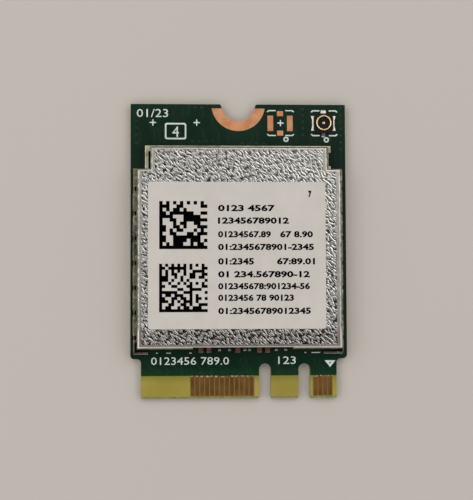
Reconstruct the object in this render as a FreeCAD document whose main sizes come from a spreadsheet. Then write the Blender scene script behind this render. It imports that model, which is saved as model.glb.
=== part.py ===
import FreeCAD, Part
import math
import os
import Sketcher

# A plug-in wireless network card, in millimetres.
# The card lies flat on its underside. The origin is the middle of that underside, +X points to the right
# with the parts facing up, +Y points to the screw notch, and +Z points up from the board.

V = FreeCAD.Vector
TINY_VOLUME = 1e-9

os.makedirs("parts", exist_ok=True)
doc = FreeCAD.newDocument("NetworkCard")
sheet = doc.addObject("Spreadsheet::Sheet", "Size")

SIZES = {
    # Circuit board: its length, thickness and coating; its width follows from the contact row
    "board_length": 30.0,
    "board_thickness": 0.8,
    "coating_depth": 0.04,
    "tongue_length": 4.0,
    "shoulder_width": 1.075,
    "shoulder_radius": 0.4,
    "bare_length": 2.3,
    "tongue_bevel": 0.2,
    "key_width": 1.2,
    "key_depth": 3.5,
    # Edge contacts
    "contact_pitch": 0.5,
    "contact_width": 0.35,
    "contact_length": 2.0,
    "row_end_margin": 0.675,
    # Screw notch and its bare copper ring
    "notch_radius": 1.75,
    "notch_lip_radius": 0.2,
    "ring_outer_radius": 2.75,
    "ring_setback": 0.42,
    # Antenna receptacles: how far their middles stand from the board's edges
    "receptacle_back_inset": 1.94,
    "receptacle_side_inset": 2.25,
    "spare_side_inset": 6.7,
    # Pads of the receptacle that isn't fitted, from their own middle
    "side_pad_width": 0.59,
    "side_pad_length": 1.6,
    "side_pad_reach": 1.3,
    "end_pad_width": 0.63,
    "end_pad_length": 0.52,
    "end_pad_reach": 1.27,
    # Antenna receptacle, from its own middle
    "housing_width": 2.0,
    "housing_thickness": 0.3,
    "housing_corner": 0.35,
    "sleeve_radius": 0.79,
    "sleeve_wall": 0.15,
    "sleeve_top": 0.62,
    "sleeve_lip": 0.04,
    "ground_leg_width": 0.43,
    "ground_leg_length": 1.5,
    "ground_leg_reach": 1.27,
    "ground_leg_waist": 0.12,
    "ground_leg_thickness": 0.12,
    "ground_web_width": 0.7,
    "tail_width": 0.55,
    "tail_reach": 1.25,
    "pin_radius": 0.15,
    "pin_top": 0.5,
    "pin_nose": 0.08,
    "signal_foot_width": 0.36,
    "signal_foot_reach": 1.3,
    "signal_foot_thickness": 0.1,
    "foot_solder_length": 0.14,
    # How far the whole shield, with its label, stands to the right of the board's middle line
    "shield_shift": -0.075,
    # Shield fence: its place on the board, its neck at the back, and its metal
    "fence_side_gap": 0.385,
    "fence_front_gap": 0.54,
    "antenna_strip": 4.4,
    "fence_neck_step": 1.17,
    "fence_neck_length": 2.34,
    "fence_height": 1.1,
    "fence_wall": 0.15,
    "fence_fold_radius": 0.12,
    "rim_width": 0.6,
    "neck_rim_width": 0.36,
    "front_rim_gap": 1.16,
    "front_fence_height": 0.6,
    "left_corner_length": 1.49,
    "right_corner_length": 1.94,
    # Notches in the fence's folded edge, and the gaps at its foot below them
    "rim_notch_pitch": 2.5,
    "rim_notch_width": 0.42,
    "rim_notch_drop": 0.45,
    "rim_notch_reach": 0.34,
    "rim_notch_step_gap": 2.09,
    "rim_notch_front_room": 1.5,
    "foot_gap_height": 0.15,
    # Gap in the neck's right wall, where the antenna line comes out; the rim's inner edge bridges it
    "line_gap_reach": 0.26,
    "line_gap_step_inset": 0.25,
    "line_gap_back_inset": 0.7,
    # Shield lid: how far the fence shows past each edge, and the lid's own metal
    "lid_left_reveal": 0.4,
    "lid_right_reveal": 0.15,
    "lid_back_reveal": 0.13,
    "lid_step_reveal": 0.04,
    "lid_neck_left_reveal": 0.55,
    "lid_neck_right_reveal": 0.32,
    "lid_front_reveal": 0.52,
    "lid_height": 0.35,
    "lid_metal": 0.13,
    "lid_bend_radius": 0.25,
    # Window in the lid's front border, and the sloping skirts beside it
    "window_left_reach": 4.59,
    "window_right_reach": 5.44,
    "window_cutback": 0.14,
    "skirt_drop": 0.55,
    "skirt_flare": 0.1,
    "skirt_end_setback": 0.12,
    # Solder beads along the fence's foot
    "bead_width": 0.08,
    "bead_height": 0.16,
    "bead_end_gap": 0.12,
    "back_bead_length": 2.2,
    "back_bead_pitch": 3.0,
    "back_bead_room": 1.4,
    # Low beads left on the board under the open front: where each begins and how long it is
    "open_bead_height": 0.08,
    "open_bead_x1": -8.36,
    "open_bead_length1": 0.24,
    "open_bead_x2": -7.31,
    "open_bead_length2": 0.5,
    "open_bead_x3": -5.0,
    "open_bead_length3": 0.3,
    "open_bead_x4": 6.72,
    "open_bead_length4": 0.2,
    "open_bead_x5": 7.44,
    "open_bead_length5": 0.9,
    # Label: its margins on the wide part of the lid
    "label_left_margin": 1.1,
    "label_right_margin": 1.66,
    "label_front_margin": 1.96,
    "label_back_margin": 1.37,
    "label_thickness": 0.08,
    "label_corner": 0.25,
    # Small two-ended parts of two sizes, with metal wrapped over each end
    "chip_part_length": 1.0,
    "chip_part_width": 0.5,
    "chip_part_height": 0.5,
    "chip_part_end": 0.24,
    "small_part_length": 0.6,
    "small_part_width": 0.3,
    "small_part_height": 0.26,
    "small_part_end": 0.15,
    "end_wrap": 0.015,
    # The row of small parts that shows in the window
    "window_capacitor_gap": 0.06,
    "window_resistor_gap": 0.25,
    "window_capacitor_x1": -3.88,
    "window_capacitor_x2": -3.07,
    "window_capacitor_x3": -0.15,
    "window_capacitor_x4": 2.05,
    "window_capacitor_x5": 2.87,
    "window_resistor_x1": -1.98,
    "window_resistor_x2": -0.98,
    "window_resistor_x3": 0.58,
    "window_resistor_x4": 1.04,
    "window_resistor_x5": 3.78,
    "window_resistor_x6": 4.72,
    # Radio chip and the lands under it
    "radio_width": 7.0,
    "radio_height": 0.85,
    "land_pitch": 0.5,
    "land_end_room": 1.0,
    "land_width": 0.25,
    "land_length": 0.45,
    "land_overhang": 0.1,
    "land_thickness": 0.05,
    "thermal_land_width": 4.8,
    # Moulded chips: upper edge and corner mark
    "moulding_bevel": 0.05,
    "dimple_radius": 0.3,
    "dimple_depth": 0.06,
    "dimple_inset": 0.7,
    # Band filters along the back wall, and the front-end chips in front of them
    "filter_width": 1.6,
    "filter_length": 0.8,
    "filter_height": 0.65,
    "filter_back_gap": 1.0,
    "filter_spacing": 5.2,
    "front_end_width": 2.5,
    "front_end_height": 0.6,
    "front_end_gap": 0.6,
    "front_end_spacing": 9.6,
    # Clock crystal
    "crystal_width": 2.5,
    "crystal_length": 2.0,
    "crystal_base_height": 0.35,
    "crystal_lid_margin": 0.15,
    "crystal_lid_height": 0.2,
    "crystal_corner": 0.2,
    # Supply inductor and settings memory, one before and one behind the radio chip's middle
    "inductor_width": 2.5,
    "inductor_length": 2.0,
    "inductor_height": 0.95,
    "inductor_end": 0.45,
    "memory_width": 2.0,
    "memory_length": 3.0,
    "memory_height": 0.55,
    "side_part_gap": 0.8,
    # Rows of small parts beside and in front of the radio chip
    "capacitor_row_gap": 0.75,
    "capacitor_pitch": 1.5,
    "capacitor_end_room": 0.8,
    "resistor_front_gap": 2.6,
    "resistor_pitch": 0.9,
    "resistor_row_half_length": 3.2,
}

# Contact numbers run from 1 at the right, odd on top and even below; two numbers share one pitch.
# The key notches take the places of the contacts round the numbers given here.
MIDDLE_CONTACT = 38
NEAR_KEY_CONTACT = 27.5
FAR_KEY_CONTACT = 11.5

# The contacts that are fitted on each side, as runs of (highest number, how many).
TOP_CONTACTS = ((7, 4), (57, 13))
BOTTOM_CONTACTS = ((6, 3), (18, 2), (56, 8), (74, 2))

# How many of each there are, where every one has its own place among the sizes.
OPEN_FRONT_BEADS = 5
WINDOW_CAPACITORS = 5
WINDOW_RESISTORS = 6

for row, (alias, value) in enumerate(SIZES.items(), start=1):
    sheet.set(f"A{row}", alias)
    sheet.set(f"B{row}", str(value))
    sheet.setAlias(f"B{row}", alias)
doc.recompute()

# Places worked out from the sizes above, written with the names of their cells.
TONGUE_HALF = f"(({MIDDLE_CONTACT} - 1) * Size.contact_pitch / 2 + Size.row_end_margin)"
HALF_WIDTH = f"({TONGUE_HALF} + Size.shoulder_width)"
HALF_LENGTH = "(Size.board_length / 2)"
TONGUE_END = f"(-{HALF_LENGTH})"
SHOULDER = f"({TONGUE_END} + Size.tongue_length)"
BARE_EDGE = f"({TONGUE_END} + Size.bare_length)"
BOARD_TOP = "Size.board_thickness"
COPPER_TOP_BASE = f"{BOARD_TOP} - Size.coating_depth"
RECEPTACLE_Y = f"({HALF_LENGTH} - Size.receptacle_back_inset)"
RECEPTACLE_X = f"({HALF_WIDTH} - Size.receptacle_side_inset)"
SPARE_X = f"({HALF_WIDTH} - Size.spare_side_inset)"

FENCE_SIDE = f"({HALF_WIDTH} - Size.fence_side_gap)"
FENCE_NECK = f"({FENCE_SIDE} - Size.fence_neck_step)"
FENCE_FRONT = f"({SHOULDER} + Size.fence_front_gap)"
FENCE_BACK = f"({HALF_LENGTH} - Size.antenna_strip)"
FENCE_STEP = f"({FENCE_BACK} - Size.fence_neck_length)"
FENCE_TOP = f"({BOARD_TOP} + Size.fence_height)"
NOTCH_ROW_END = f"({FENCE_STEP} - Size.rim_notch_step_gap)"
NOTCH_COUNT = (f"(floor(({NOTCH_ROW_END} - {FENCE_FRONT} - Size.rim_notch_front_room)"
               " / Size.rim_notch_pitch) + 1)")

LID_TOP = f"({FENCE_TOP} + Size.lid_height)"
LID_LEFT = f"(-{FENCE_SIDE} + Size.lid_left_reveal)"
LID_RIGHT = f"({FENCE_SIDE} - Size.lid_right_reveal)"
LID_NECK_LEFT = f"(-{FENCE_NECK} + Size.lid_neck_left_reveal)"
LID_NECK_RIGHT = f"({FENCE_NECK} - Size.lid_neck_right_reveal)"
LID_FRONT = f"({FENCE_FRONT} + Size.lid_front_reveal)"
LID_STEP = f"({FENCE_STEP} - Size.lid_step_reveal)"
LID_BACK = f"({FENCE_BACK} - Size.lid_back_reveal)"

FILTER_Y = f"({FENCE_BACK} - Size.filter_back_gap - Size.filter_length / 2)"
FRONT_END_Y = (f"({FILTER_Y} - Size.filter_length / 2 - Size.front_end_gap"
               " - Size.front_end_width / 2)")
RESISTOR_Y = f"({FENCE_FRONT} + Size.resistor_front_gap)"
RADIO_Y = (f"(({RESISTOR_Y} + Size.small_part_length / 2"
           f" + {FRONT_END_Y} - Size.front_end_width / 2) / 2)")
RADIO_REACH = "(Size.radio_width / 2 + Size.land_overhang)"
CAPACITOR_X = f"({RADIO_REACH} + Size.capacitor_row_gap)"
SIDE_PART_X = (f"(({CAPACITOR_X} + Size.chip_part_width / 2"
               f" + {FENCE_SIDE} - Size.fence_wall) / 2)")


def value_of(expression):
    """The number that an expression over the named sizes gives."""
    return float(sheet.evalExpression(expression))


def new_body(label, x="0", y="0", z="0"):
    """A sub-part with its own label, placed at a point given by three expressions."""
    body = doc.addObject("PartDesign::Body", label)
    body.Label = label
    body.AllowCompound = True
    for axis, expression in (("x", x), ("y", y), ("z", z)):
        body.setExpression(f"Placement.Base.{axis}", expression)
    return body


def new_sketch(body, name, height="0", plane="XY_Plane"):
    """An empty sketch on one of the body's own planes, raised along that plane's normal."""
    support = [feature for feature in body.Origin.OriginFeatures if feature.Role == plane][0]
    sketch = body.newObject("Sketcher::SketchObject", name)
    sketch.AttachmentSupport = [(support, "")]
    sketch.MapMode = "FlatFace"
    sketch.setExpression("AttachmentOffset.Base.z", height)
    return sketch


def constrain(sketch, kind, *arguments):
    """Add one constraint; a driving one takes its expression as the last argument."""
    if isinstance(arguments[-1], str):
        expression = arguments[-1]
        index = sketch.addConstraint(Sketcher.Constraint(kind, *arguments[:-1], value_of(expression)))
        sketch.setExpression(f"Constraints[{index}]", expression)
    else:
        sketch.addConstraint(Sketcher.Constraint(kind, *arguments))


def fix_point(sketch, geometry, point, x, y):
    """Tie one point of a sketch to the origin by two expressions."""
    constrain(sketch, "DistanceX", -1, 1, geometry, point, x)
    constrain(sketch, "DistanceY", -1, 1, geometry, point, y)


def polygon(sketch, corners):
    """A closed outline through corners, each a pair of expressions."""
    points = [V(value_of(x), value_of(y), 0) for x, y in corners]
    first = sketch.GeometryCount
    count = len(points)
    for index in range(count):
        sketch.addGeometry(Part.LineSegment(points[index], points[(index + 1) % count]), False)
    for index in range(count):
        constrain(sketch, "Coincident", first + index, 2, first + (index + 1) % count, 1)
        fix_point(sketch, first + index, 1, *corners[index])


def rectangle(sketch, left, right, low, high):
    """A rectangle between two X expressions and two Y expressions."""
    polygon(sketch, [(left, low), (right, low), (right, high), (left, high)])


def centred_rectangle(sketch, x, y, width, length):
    """A rectangle about its own middle."""
    rectangle(sketch, f"({x}) - ({width}) / 2", f"({x}) + ({width}) / 2",
              f"({y}) - ({length}) / 2", f"({y}) + ({length}) / 2")


def circle(sketch, x, y, radius):
    """A circle about the point (x, y)."""
    centre = V(value_of(x), value_of(y), 0)
    geometry = sketch.addGeometry(Part.Circle(centre, V(0, 0, 1), value_of(radius)), False)
    fix_point(sketch, geometry, 3, x, y)
    constrain(sketch, "Radius", geometry, radius)


def round_topped_slot(sketch, x, low, width, depth):
    """A slot open at its lower end, with a half-round upper end."""
    radius = value_of(width) / 2
    middle, bottom = value_of(x), value_of(low)
    top = bottom + value_of(depth) - radius
    corners = [V(middle + radius, top, 0), V(middle - radius, top, 0),
               V(middle - radius, bottom, 0), V(middle + radius, bottom, 0)]
    whole = Part.Circle(V(middle, top, 0), V(0, 0, 1), radius)
    arc = sketch.addGeometry(Part.ArcOfCircle(whole, 0, math.pi), False)
    left = sketch.addGeometry(Part.LineSegment(corners[1], corners[2]), False)
    base = sketch.addGeometry(Part.LineSegment(corners[2], corners[3]), False)
    right = sketch.addGeometry(Part.LineSegment(corners[3], corners[0]), False)
    constrain(sketch, "Tangent", arc, 2, left, 1)
    constrain(sketch, "Tangent", arc, 1, right, 2)
    constrain(sketch, "Coincident", left, 2, base, 1)
    constrain(sketch, "Coincident", base, 2, right, 1)
    constrain(sketch, "Horizontal", base)
    constrain(sketch, "Vertical", left)
    constrain(sketch, "Vertical", right)
    constrain(sketch, "Radius", arc, f"({width}) / 2")
    fix_point(sketch, arc, 3, x, f"({low}) + ({depth}) - ({width}) / 2")
    constrain(sketch, "DistanceY", -1, 1, base, 1, low)


def half_ring(sketch, middle_y, inner, outer, setback):
    """A ring about (0, middle_y), cut off square where it comes within setback of that height."""
    centre = V(0, value_of(middle_y), 0)
    arcs = []
    ends = []
    for radius_expression in (outer, inner):
        radius = value_of(radius_expression)
        lift = math.asin(value_of(setback) / radius)
        start, end = math.pi + lift, 2 * math.pi - lift
        whole = Part.Circle(centre, V(0, 0, 1), radius)
        arcs.append(sketch.addGeometry(Part.ArcOfCircle(whole, start, end), False))
        ends.append([centre + V(radius * math.cos(turn), radius * math.sin(turn), 0)
                     for turn in (start, end)])
        constrain(sketch, "Radius", arcs[-1], radius_expression)
    left = sketch.addGeometry(Part.LineSegment(ends[0][0], ends[1][0]), False)
    right = sketch.addGeometry(Part.LineSegment(ends[1][1], ends[0][1]), False)
    constrain(sketch, "Coincident", arcs[0], 1, left, 1)
    constrain(sketch, "Coincident", left, 2, arcs[1], 1)
    constrain(sketch, "Coincident", arcs[1], 2, right, 1)
    constrain(sketch, "Coincident", right, 2, arcs[0], 2)
    constrain(sketch, "Coincident", arcs[0], 3, arcs[1], 3)
    fix_point(sketch, arcs[0], 3, "0", middle_y)
    for line in (left, right):
        constrain(sketch, "Horizontal", line)
        constrain(sketch, "DistanceY", -1, 1, line, 1, f"({middle_y}) - ({setback})")


def pad(body, name, sketch, height):
    """Raise a sketch into a solid along its plane's normal."""
    feature = body.newObject("PartDesign::Pad", name)
    feature.Profile = sketch
    feature.setExpression("Length", height)
    body.Tip = feature
    return feature


def pocket(body, name, sketch, depth=None, upwards=False):
    """Cut a sketch into the body against its plane's normal, or along it; without a depth, right through."""
    feature = body.newObject("PartDesign::Pocket", name)
    feature.Profile = sketch
    feature.Reversed = upwards
    if depth is None:
        feature.Type = "ThroughAll"
    else:
        feature.setExpression("Length", depth)
    body.Tip = feature
    return feature


def repeat(body, name, feature, sketch, axis, pitch, count):
    """Repeat a feature along a sketch's H_Axis or V_Axis."""
    pattern = body.newObject("PartDesign::LinearPattern", name)
    pattern.Originals = [feature]
    pattern.Direction = (sketch, [axis])
    pattern.setExpression("Length", f"(({count}) - 1) * ({pitch})")
    pattern.setExpression("Occurrences", count)
    body.Tip = pattern
    return pattern


def edges_where(body, test):
    """Names of the edges of the body so far whose middle point passes a test."""
    doc.recompute()
    names = []
    for number, edge in enumerate(body.Tip.Shape.Edges, start=1):
        middle = edge.valueAt((edge.FirstParameter + edge.LastParameter) / 2)
        if test(edge, middle):
            names.append(f"Edge{number}")
    return names


def round_edges(body, name, radius, test):
    """Round the edges that pass a test."""
    base = (body.Tip, edges_where(body, test))
    feature = body.newObject("PartDesign::Fillet", name)
    feature.Base = base
    feature.setExpression("Radius", radius)
    body.Tip = feature
    return feature


def bevel_edges(body, name, width, test):
    """Bevel the edges that pass a test."""
    base = (body.Tip, edges_where(body, test))
    feature = body.newObject("PartDesign::Chamfer", name)
    feature.Base = base
    feature.setExpression("Size", width)
    body.Tip = feature
    return feature


def near(value, expression):
    """Whether a measured coordinate is the one that an expression gives."""
    return abs(value - value_of(expression)) < 1e-4


def upright(edge):
    """Whether an edge runs along Z."""
    ends = [vertex.Point for vertex in edge.Vertexes]
    return len(ends) == 2 and abs(ends[0].x - ends[1].x) < 1e-6 and abs(ends[0].y - ends[1].y) < 1e-6


def contact_x(number):
    """How far a contact's middle stands to the right of the board's middle line."""
    return f"(({MIDDLE_CONTACT} - {number}) * Size.contact_pitch / 2)"


def spare_pads(sketch):
    """The two side pads and two end pads of a receptacle's footprint."""
    for side in ("-", "+"):
        centred_rectangle(sketch, f"{SPARE_X} {side} (Size.side_pad_reach - Size.side_pad_width / 2)",
                          RECEPTACLE_Y, "Size.side_pad_width", "Size.side_pad_length")
        centred_rectangle(sketch, SPARE_X,
                          f"{RECEPTACLE_Y} {side} (Size.end_pad_reach - Size.end_pad_length / 2)",
                          "Size.end_pad_width", "Size.end_pad_length")


def coating_opening(body, name, draw):
    """Cut the same shallow opening into the coating of the top and of the underside."""
    for side, height, upwards in (("Top", BOARD_TOP, False), ("Under", "0", True)):
        sketch = new_sketch(body, f"{name}{side}Sketch", height)
        draw(sketch)
        pocket(body, f"{name}{side}", sketch, "Size.coating_depth", upwards)


def make_circuit_board():
    """The board: a plate with a contact tongue, key notches, a screw notch and openings in its coating."""
    body = new_body("circuit_board")
    outline = new_sketch(body, "BoardOutline")
    polygon(outline, [
        (f"-{HALF_WIDTH}", HALF_LENGTH),
        (f"-{HALF_WIDTH}", SHOULDER),
        (f"-{TONGUE_HALF}", SHOULDER),
        (f"-{TONGUE_HALF}", TONGUE_END),
        (TONGUE_HALF, TONGUE_END),
        (TONGUE_HALF, SHOULDER),
        (HALF_WIDTH, SHOULDER),
        (HALF_WIDTH, HALF_LENGTH),
    ])
    pad(body, "BoardPlate", outline, BOARD_TOP)
    round_edges(body, "ShoulderRounds", "Size.shoulder_radius",
                lambda edge, middle: upright(edge) and near(middle.y, SHOULDER))
    keys = new_sketch(body, "KeyNotchSketch", BOARD_TOP)
    for number in (NEAR_KEY_CONTACT, FAR_KEY_CONTACT):
        round_topped_slot(keys, contact_x(number), TONGUE_END, "Size.key_width", "Size.key_depth")
    pocket(body, "KeyNotches", keys)
    screw = new_sketch(body, "ScrewNotchSketch", BOARD_TOP)
    circle(screw, "0", HALF_LENGTH, "Size.notch_radius")
    pocket(body, "ScrewNotch", screw)
    round_edges(body, "ScrewNotchLips", "Size.notch_lip_radius",
                lambda edge, middle: upright(edge) and near(middle.y, HALF_LENGTH)
                and near(abs(middle.x), "Size.notch_radius"))
    coating_opening(body, "BareTongue", lambda sketch: rectangle(
        sketch, f"-{TONGUE_HALF}", TONGUE_HALF, TONGUE_END, BARE_EDGE))
    bevel_edges(body, "TongueBevel", "Size.tongue_bevel",
                lambda edge, middle: near(middle.y, TONGUE_END) and not upright(edge))
    coating_opening(body, "RingOpening", lambda sketch: half_ring(
        sketch, HALF_LENGTH, "Size.notch_radius", "Size.ring_outer_radius", "Size.ring_setback"))
    spare = new_sketch(body, "SparePadSketch", BOARD_TOP)
    spare_pads(spare)
    pocket(body, "SparePadOpenings", spare, "Size.coating_depth")
    return body


def make_edge_contacts(label, runs, base):
    """Flat contact fingers side by side, in runs that start at the highest contact number."""
    body = new_body(label)
    for index, (highest, count) in enumerate(runs, start=1):
        sketch = new_sketch(body, f"Contact{index}Sketch", base)
        centred_rectangle(sketch, contact_x(highest), f"{BARE_EDGE} - Size.contact_length / 2",
                          "Size.contact_width", "Size.contact_length")
        finger = pad(body, f"Contact{index}", sketch, "Size.coating_depth")
        repeat(body, f"ContactRun{index}", finger, sketch, "H_Axis", "Size.contact_pitch", str(count))
    return body


def make_ground_ring(label, base):
    """The bare copper half ring round the screw notch, up to its edge, that a screw head presses on."""
    body = new_body(label)
    sketch = new_sketch(body, "RingSketch", base)
    half_ring(sketch, HALF_LENGTH, "Size.notch_radius", "Size.ring_outer_radius", "Size.ring_setback")
    pad(body, "Ring", sketch, "Size.coating_depth")
    return body


def make_spare_pads():
    """The four bare copper pads of the receptacle that isn't fitted."""
    body = new_body("spare_antenna_pads")
    sketch = new_sketch(body, "PadSketch", COPPER_TOP_BASE)
    spare_pads(sketch)
    pad(body, "Pads", sketch, "Size.coating_depth")
    return body


def receptacle_body(label):
    """A body of the antenna receptacle, about the receptacle's own axis, standing on the board."""
    return new_body(label, RECEPTACLE_X, RECEPTACLE_Y, BOARD_TOP)


def make_receptacle_shell():
    """The stamped ground shell: a drawn sleeve on a flat web, with two waisted side legs and a tail."""
    body = receptacle_body("receptacle_shell")
    web = new_sketch(body, "WebSketch")
    leg_out = "Size.ground_leg_reach"
    leg_in = "(Size.ground_leg_reach - Size.ground_leg_width)"
    leg_waist = "(Size.ground_leg_reach - Size.ground_leg_waist)"
    half_leg = "Size.ground_leg_length / 2"
    half_web = "Size.ground_web_width / 2"
    polygon(web, [
        (f"-{leg_in}", f"-{half_leg}"), (f"-{leg_in}", f"-{half_web}"),
        (leg_in, f"-{half_web}"), (leg_in, f"-{half_leg}"),
        (leg_out, f"-{half_leg}"), (leg_waist, f"-{half_web}"),
        (leg_waist, half_web), (leg_out, half_leg),
        (leg_in, half_leg), (leg_in, half_web),
        (f"-{leg_in}", half_web), (f"-{leg_in}", half_leg),
        (f"-{leg_out}", half_leg), (f"-{leg_waist}", half_web),
        (f"-{leg_waist}", f"-{half_web}"), (f"-{leg_out}", f"-{half_leg}"),
    ])
    pad(body, "Web", web, "Size.ground_leg_thickness")
    tail = new_sketch(body, "TailSketch")
    rectangle(tail, "-Size.tail_width / 2", "Size.tail_width / 2", "0", "Size.tail_reach")
    pad(body, "Tail", tail, "Size.ground_leg_thickness")
    sleeve = new_sketch(body, "SleeveSketch", "Size.ground_leg_thickness")
    circle(sleeve, "0", "0", "Size.sleeve_radius")
    pad(body, "SleeveBlank", sleeve, "Size.sleeve_top - Size.ground_leg_thickness")
    bore = new_sketch(body, "BoreSketch", "Size.sleeve_top")
    circle(bore, "0", "0", "Size.sleeve_radius - Size.sleeve_wall")
    pocket(body, "Bore", bore)
    bevel_edges(body, "SleeveLip", "Size.sleeve_lip", lambda edge, middle: near(middle.z, "Size.sleeve_top"))
    return body


def make_receptacle_pin():
    """The signal pin with its flat foot running out under the housing."""
    body = receptacle_body("receptacle_pin")
    foot = new_sketch(body, "FootSketch")
    rectangle(foot, "-Size.signal_foot_width / 2", "Size.signal_foot_width / 2",
              "-Size.signal_foot_reach", "0")
    pad(body, "Foot", foot, "Size.signal_foot_thickness")
    stem = new_sketch(body, "StemSketch")
    circle(stem, "0", "0", "Size.pin_radius")
    pad(body, "Stem", stem, "Size.pin_top")
    round_edges(body, "PinNose", "Size.pin_nose", lambda edge, middle: near(middle.z, "Size.pin_top"))
    return body


def make_receptacle_housing(shell, pin):
    """The square base, moulded round the lower parts of the shell and the pin."""
    block = receptacle_body("receptacle_block")
    outline = new_sketch(block, "BlockSketch")
    centred_rectangle(outline, "0", "0", "Size.housing_width", "Size.housing_width")
    pad(block, "Block", outline, "Size.housing_thickness")
    bevel_edges(block, "BlockCorners", "Size.housing_corner", lambda edge, middle: upright(edge))
    around_shell = doc.addObject("Part::Cut", "housing_round_shell")
    around_shell.Base = block
    around_shell.Tool = shell
    housing = doc.addObject("Part::Cut", "receptacle_housing")
    housing.Base = around_shell
    housing.Tool = pin
    housing.Label = "receptacle_housing"
    return housing


def wedge(body, name, plane, start, length, corners):
    """A three-cornered bead: a section on one of the body's planes, run along that plane's normal."""
    section = new_sketch(body, f"{name}Section", start, plane=plane)
    polygon(section, corners)
    return pad(body, name, section, length), section


def make_receptacle_solder():
    """Solder wedges at the outer ends of the tail and the signal foot."""
    body = receptacle_body("receptacle_solder")
    toe = "Size.foot_solder_length"
    height = "Size.signal_foot_thickness"
    wedge(body, "TailEnd", "YZ_Plane", "-Size.tail_width / 2", "Size.tail_width",
          [("Size.tail_reach", "0"), (f"Size.tail_reach + {toe}", "0"), ("Size.tail_reach", height)])
    foot = "Size.signal_foot_reach"
    wedge(body, "FootEnd", "YZ_Plane", "-Size.signal_foot_width / 2", "Size.signal_foot_width",
          [(f"-{foot}", "0"), (f"-({foot} + {toe})", "0"), (f"-{foot}", height)])
    return body


def stepped_outline(sketch, left, right, neck_left, neck_right, front, step, back):
    """The shield's outline: a wide body with a narrower neck behind it."""
    polygon(sketch, [
        (left, front), (right, front), (right, step), (neck_right, step),
        (neck_right, back), (neck_left, back), (neck_left, step), (left, step),
    ])


def fence_outline(sketch, inset):
    """The outline of the fence, drawn in from its outer faces by an expression."""
    side = f"({FENCE_SIDE} - {inset})"
    neck = f"({FENCE_NECK} - {inset})"
    stepped_outline(sketch, f"-{side}", side, f"-{neck}", neck, f"{FENCE_FRONT} + {inset}",
                    f"{FENCE_STEP} - {inset}", f"{FENCE_BACK} - {inset}")


def lid_outline(sketch, inset):
    """The outline of the lid, drawn in from its outer faces by an expression."""
    stepped_outline(sketch, f"{LID_LEFT} + {inset}", f"{LID_RIGHT} - {inset}",
                    f"{LID_NECK_LEFT} + {inset}", f"{LID_NECK_RIGHT} - {inset}",
                    f"{LID_FRONT} + {inset}", f"{LID_STEP} - {inset}", f"{LID_BACK} - {inset}")


def notch_row(body, name, height, reach, depth, upwards):
    """The same row of notches down both side walls of the fence."""
    sketch = new_sketch(body, f"{name}Sketch", height)
    lowest = f"({NOTCH_ROW_END} - ({NOTCH_COUNT} - 1) * Size.rim_notch_pitch)"
    for side in ("-", ""):
        rectangle(sketch, f"{side}{FENCE_SIDE}", f"{side}({FENCE_SIDE} - {reach})",
                  f"{lowest} - Size.rim_notch_width / 2", f"{lowest} + Size.rim_notch_width / 2")
    first = pocket(body, name, sketch, depth, upwards)
    repeat(body, f"{name}Row", first, sketch, "V_Axis", "Size.rim_notch_pitch", NOTCH_COUNT)


def make_shield_frame():
    """The folded fence: walls with an inward rim, notched folds, gaps at the foot, and a cut-away front."""
    body = new_body("shield_frame", x="Size.shield_shift", z=BOARD_TOP)
    outline = new_sketch(body, "FenceOutline")
    fence_outline(outline, "0")
    pad(body, "FenceBlank", outline, "Size.fence_height")
    round_edges(body, "Folds", "Size.fence_fold_radius",
                lambda edge, middle: near(middle.z, "Size.fence_height"))
    inside = new_sketch(body, "InsideSketch")
    fence_outline(inside, "Size.fence_wall")
    pocket(body, "Inside", inside, "Size.fence_height - Size.fence_wall", upwards=True)
    opening = new_sketch(body, "OpeningSketch", "Size.fence_height")
    side = f"({FENCE_SIDE} - Size.rim_width)"
    wide = f"({FENCE_SIDE} - Size.fence_wall)"
    neck = f"({FENCE_NECK} - Size.neck_rim_width)"
    front = f"{FENCE_FRONT} + Size.fence_wall"
    back = f"{FENCE_BACK} - Size.rim_width"
    step = f"{FENCE_STEP} - Size.rim_width"
    rim_end = f"{FENCE_FRONT} + Size.front_rim_gap"
    polygon(opening, [
        (f"-{wide}", front), (wide, front), (wide, rim_end), (side, rim_end),
        (side, step), (neck, step), (neck, back), (f"-{neck}", back),
        (f"-{neck}", step), (f"-{side}", step), (f"-{side}", rim_end), (f"-{wide}", rim_end),
    ])
    pocket(body, "Opening", opening, "Size.fence_wall")
    front_face = f"-{FENCE_FRONT}"
    low_front = new_sketch(body, "LowFrontSketch", front_face, plane="XZ_Plane")
    rectangle(low_front, f"-{FENCE_SIDE}", FENCE_SIDE, "Size.front_fence_height", "Size.fence_height")
    pocket(body, "LowFront", low_front, "Size.fence_wall")
    front_cut = new_sketch(body, "FrontCutSketch", front_face, plane="XZ_Plane")
    rectangle(front_cut, f"-{FENCE_SIDE} + Size.left_corner_length",
              f"{FENCE_SIDE} - Size.right_corner_length", "0", "Size.front_fence_height")
    pocket(body, "FrontCut", front_cut, "Size.fence_wall")
    notch_row(body, "RimNotch", "Size.fence_height", "Size.rim_notch_reach", "Size.rim_notch_drop", False)
    notch_row(body, "FootGap", "0", "Size.fence_wall", "Size.foot_gap_height", True)
    line_gap = new_sketch(body, "LineGapSketch", "Size.fence_height")
    rectangle(line_gap, f"{FENCE_NECK} - Size.line_gap_reach", FENCE_NECK,
              f"{FENCE_STEP} + Size.line_gap_step_inset", f"{FENCE_BACK} - Size.line_gap_back_inset")
    pocket(body, "LineGap", line_gap)
    return body


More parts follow.
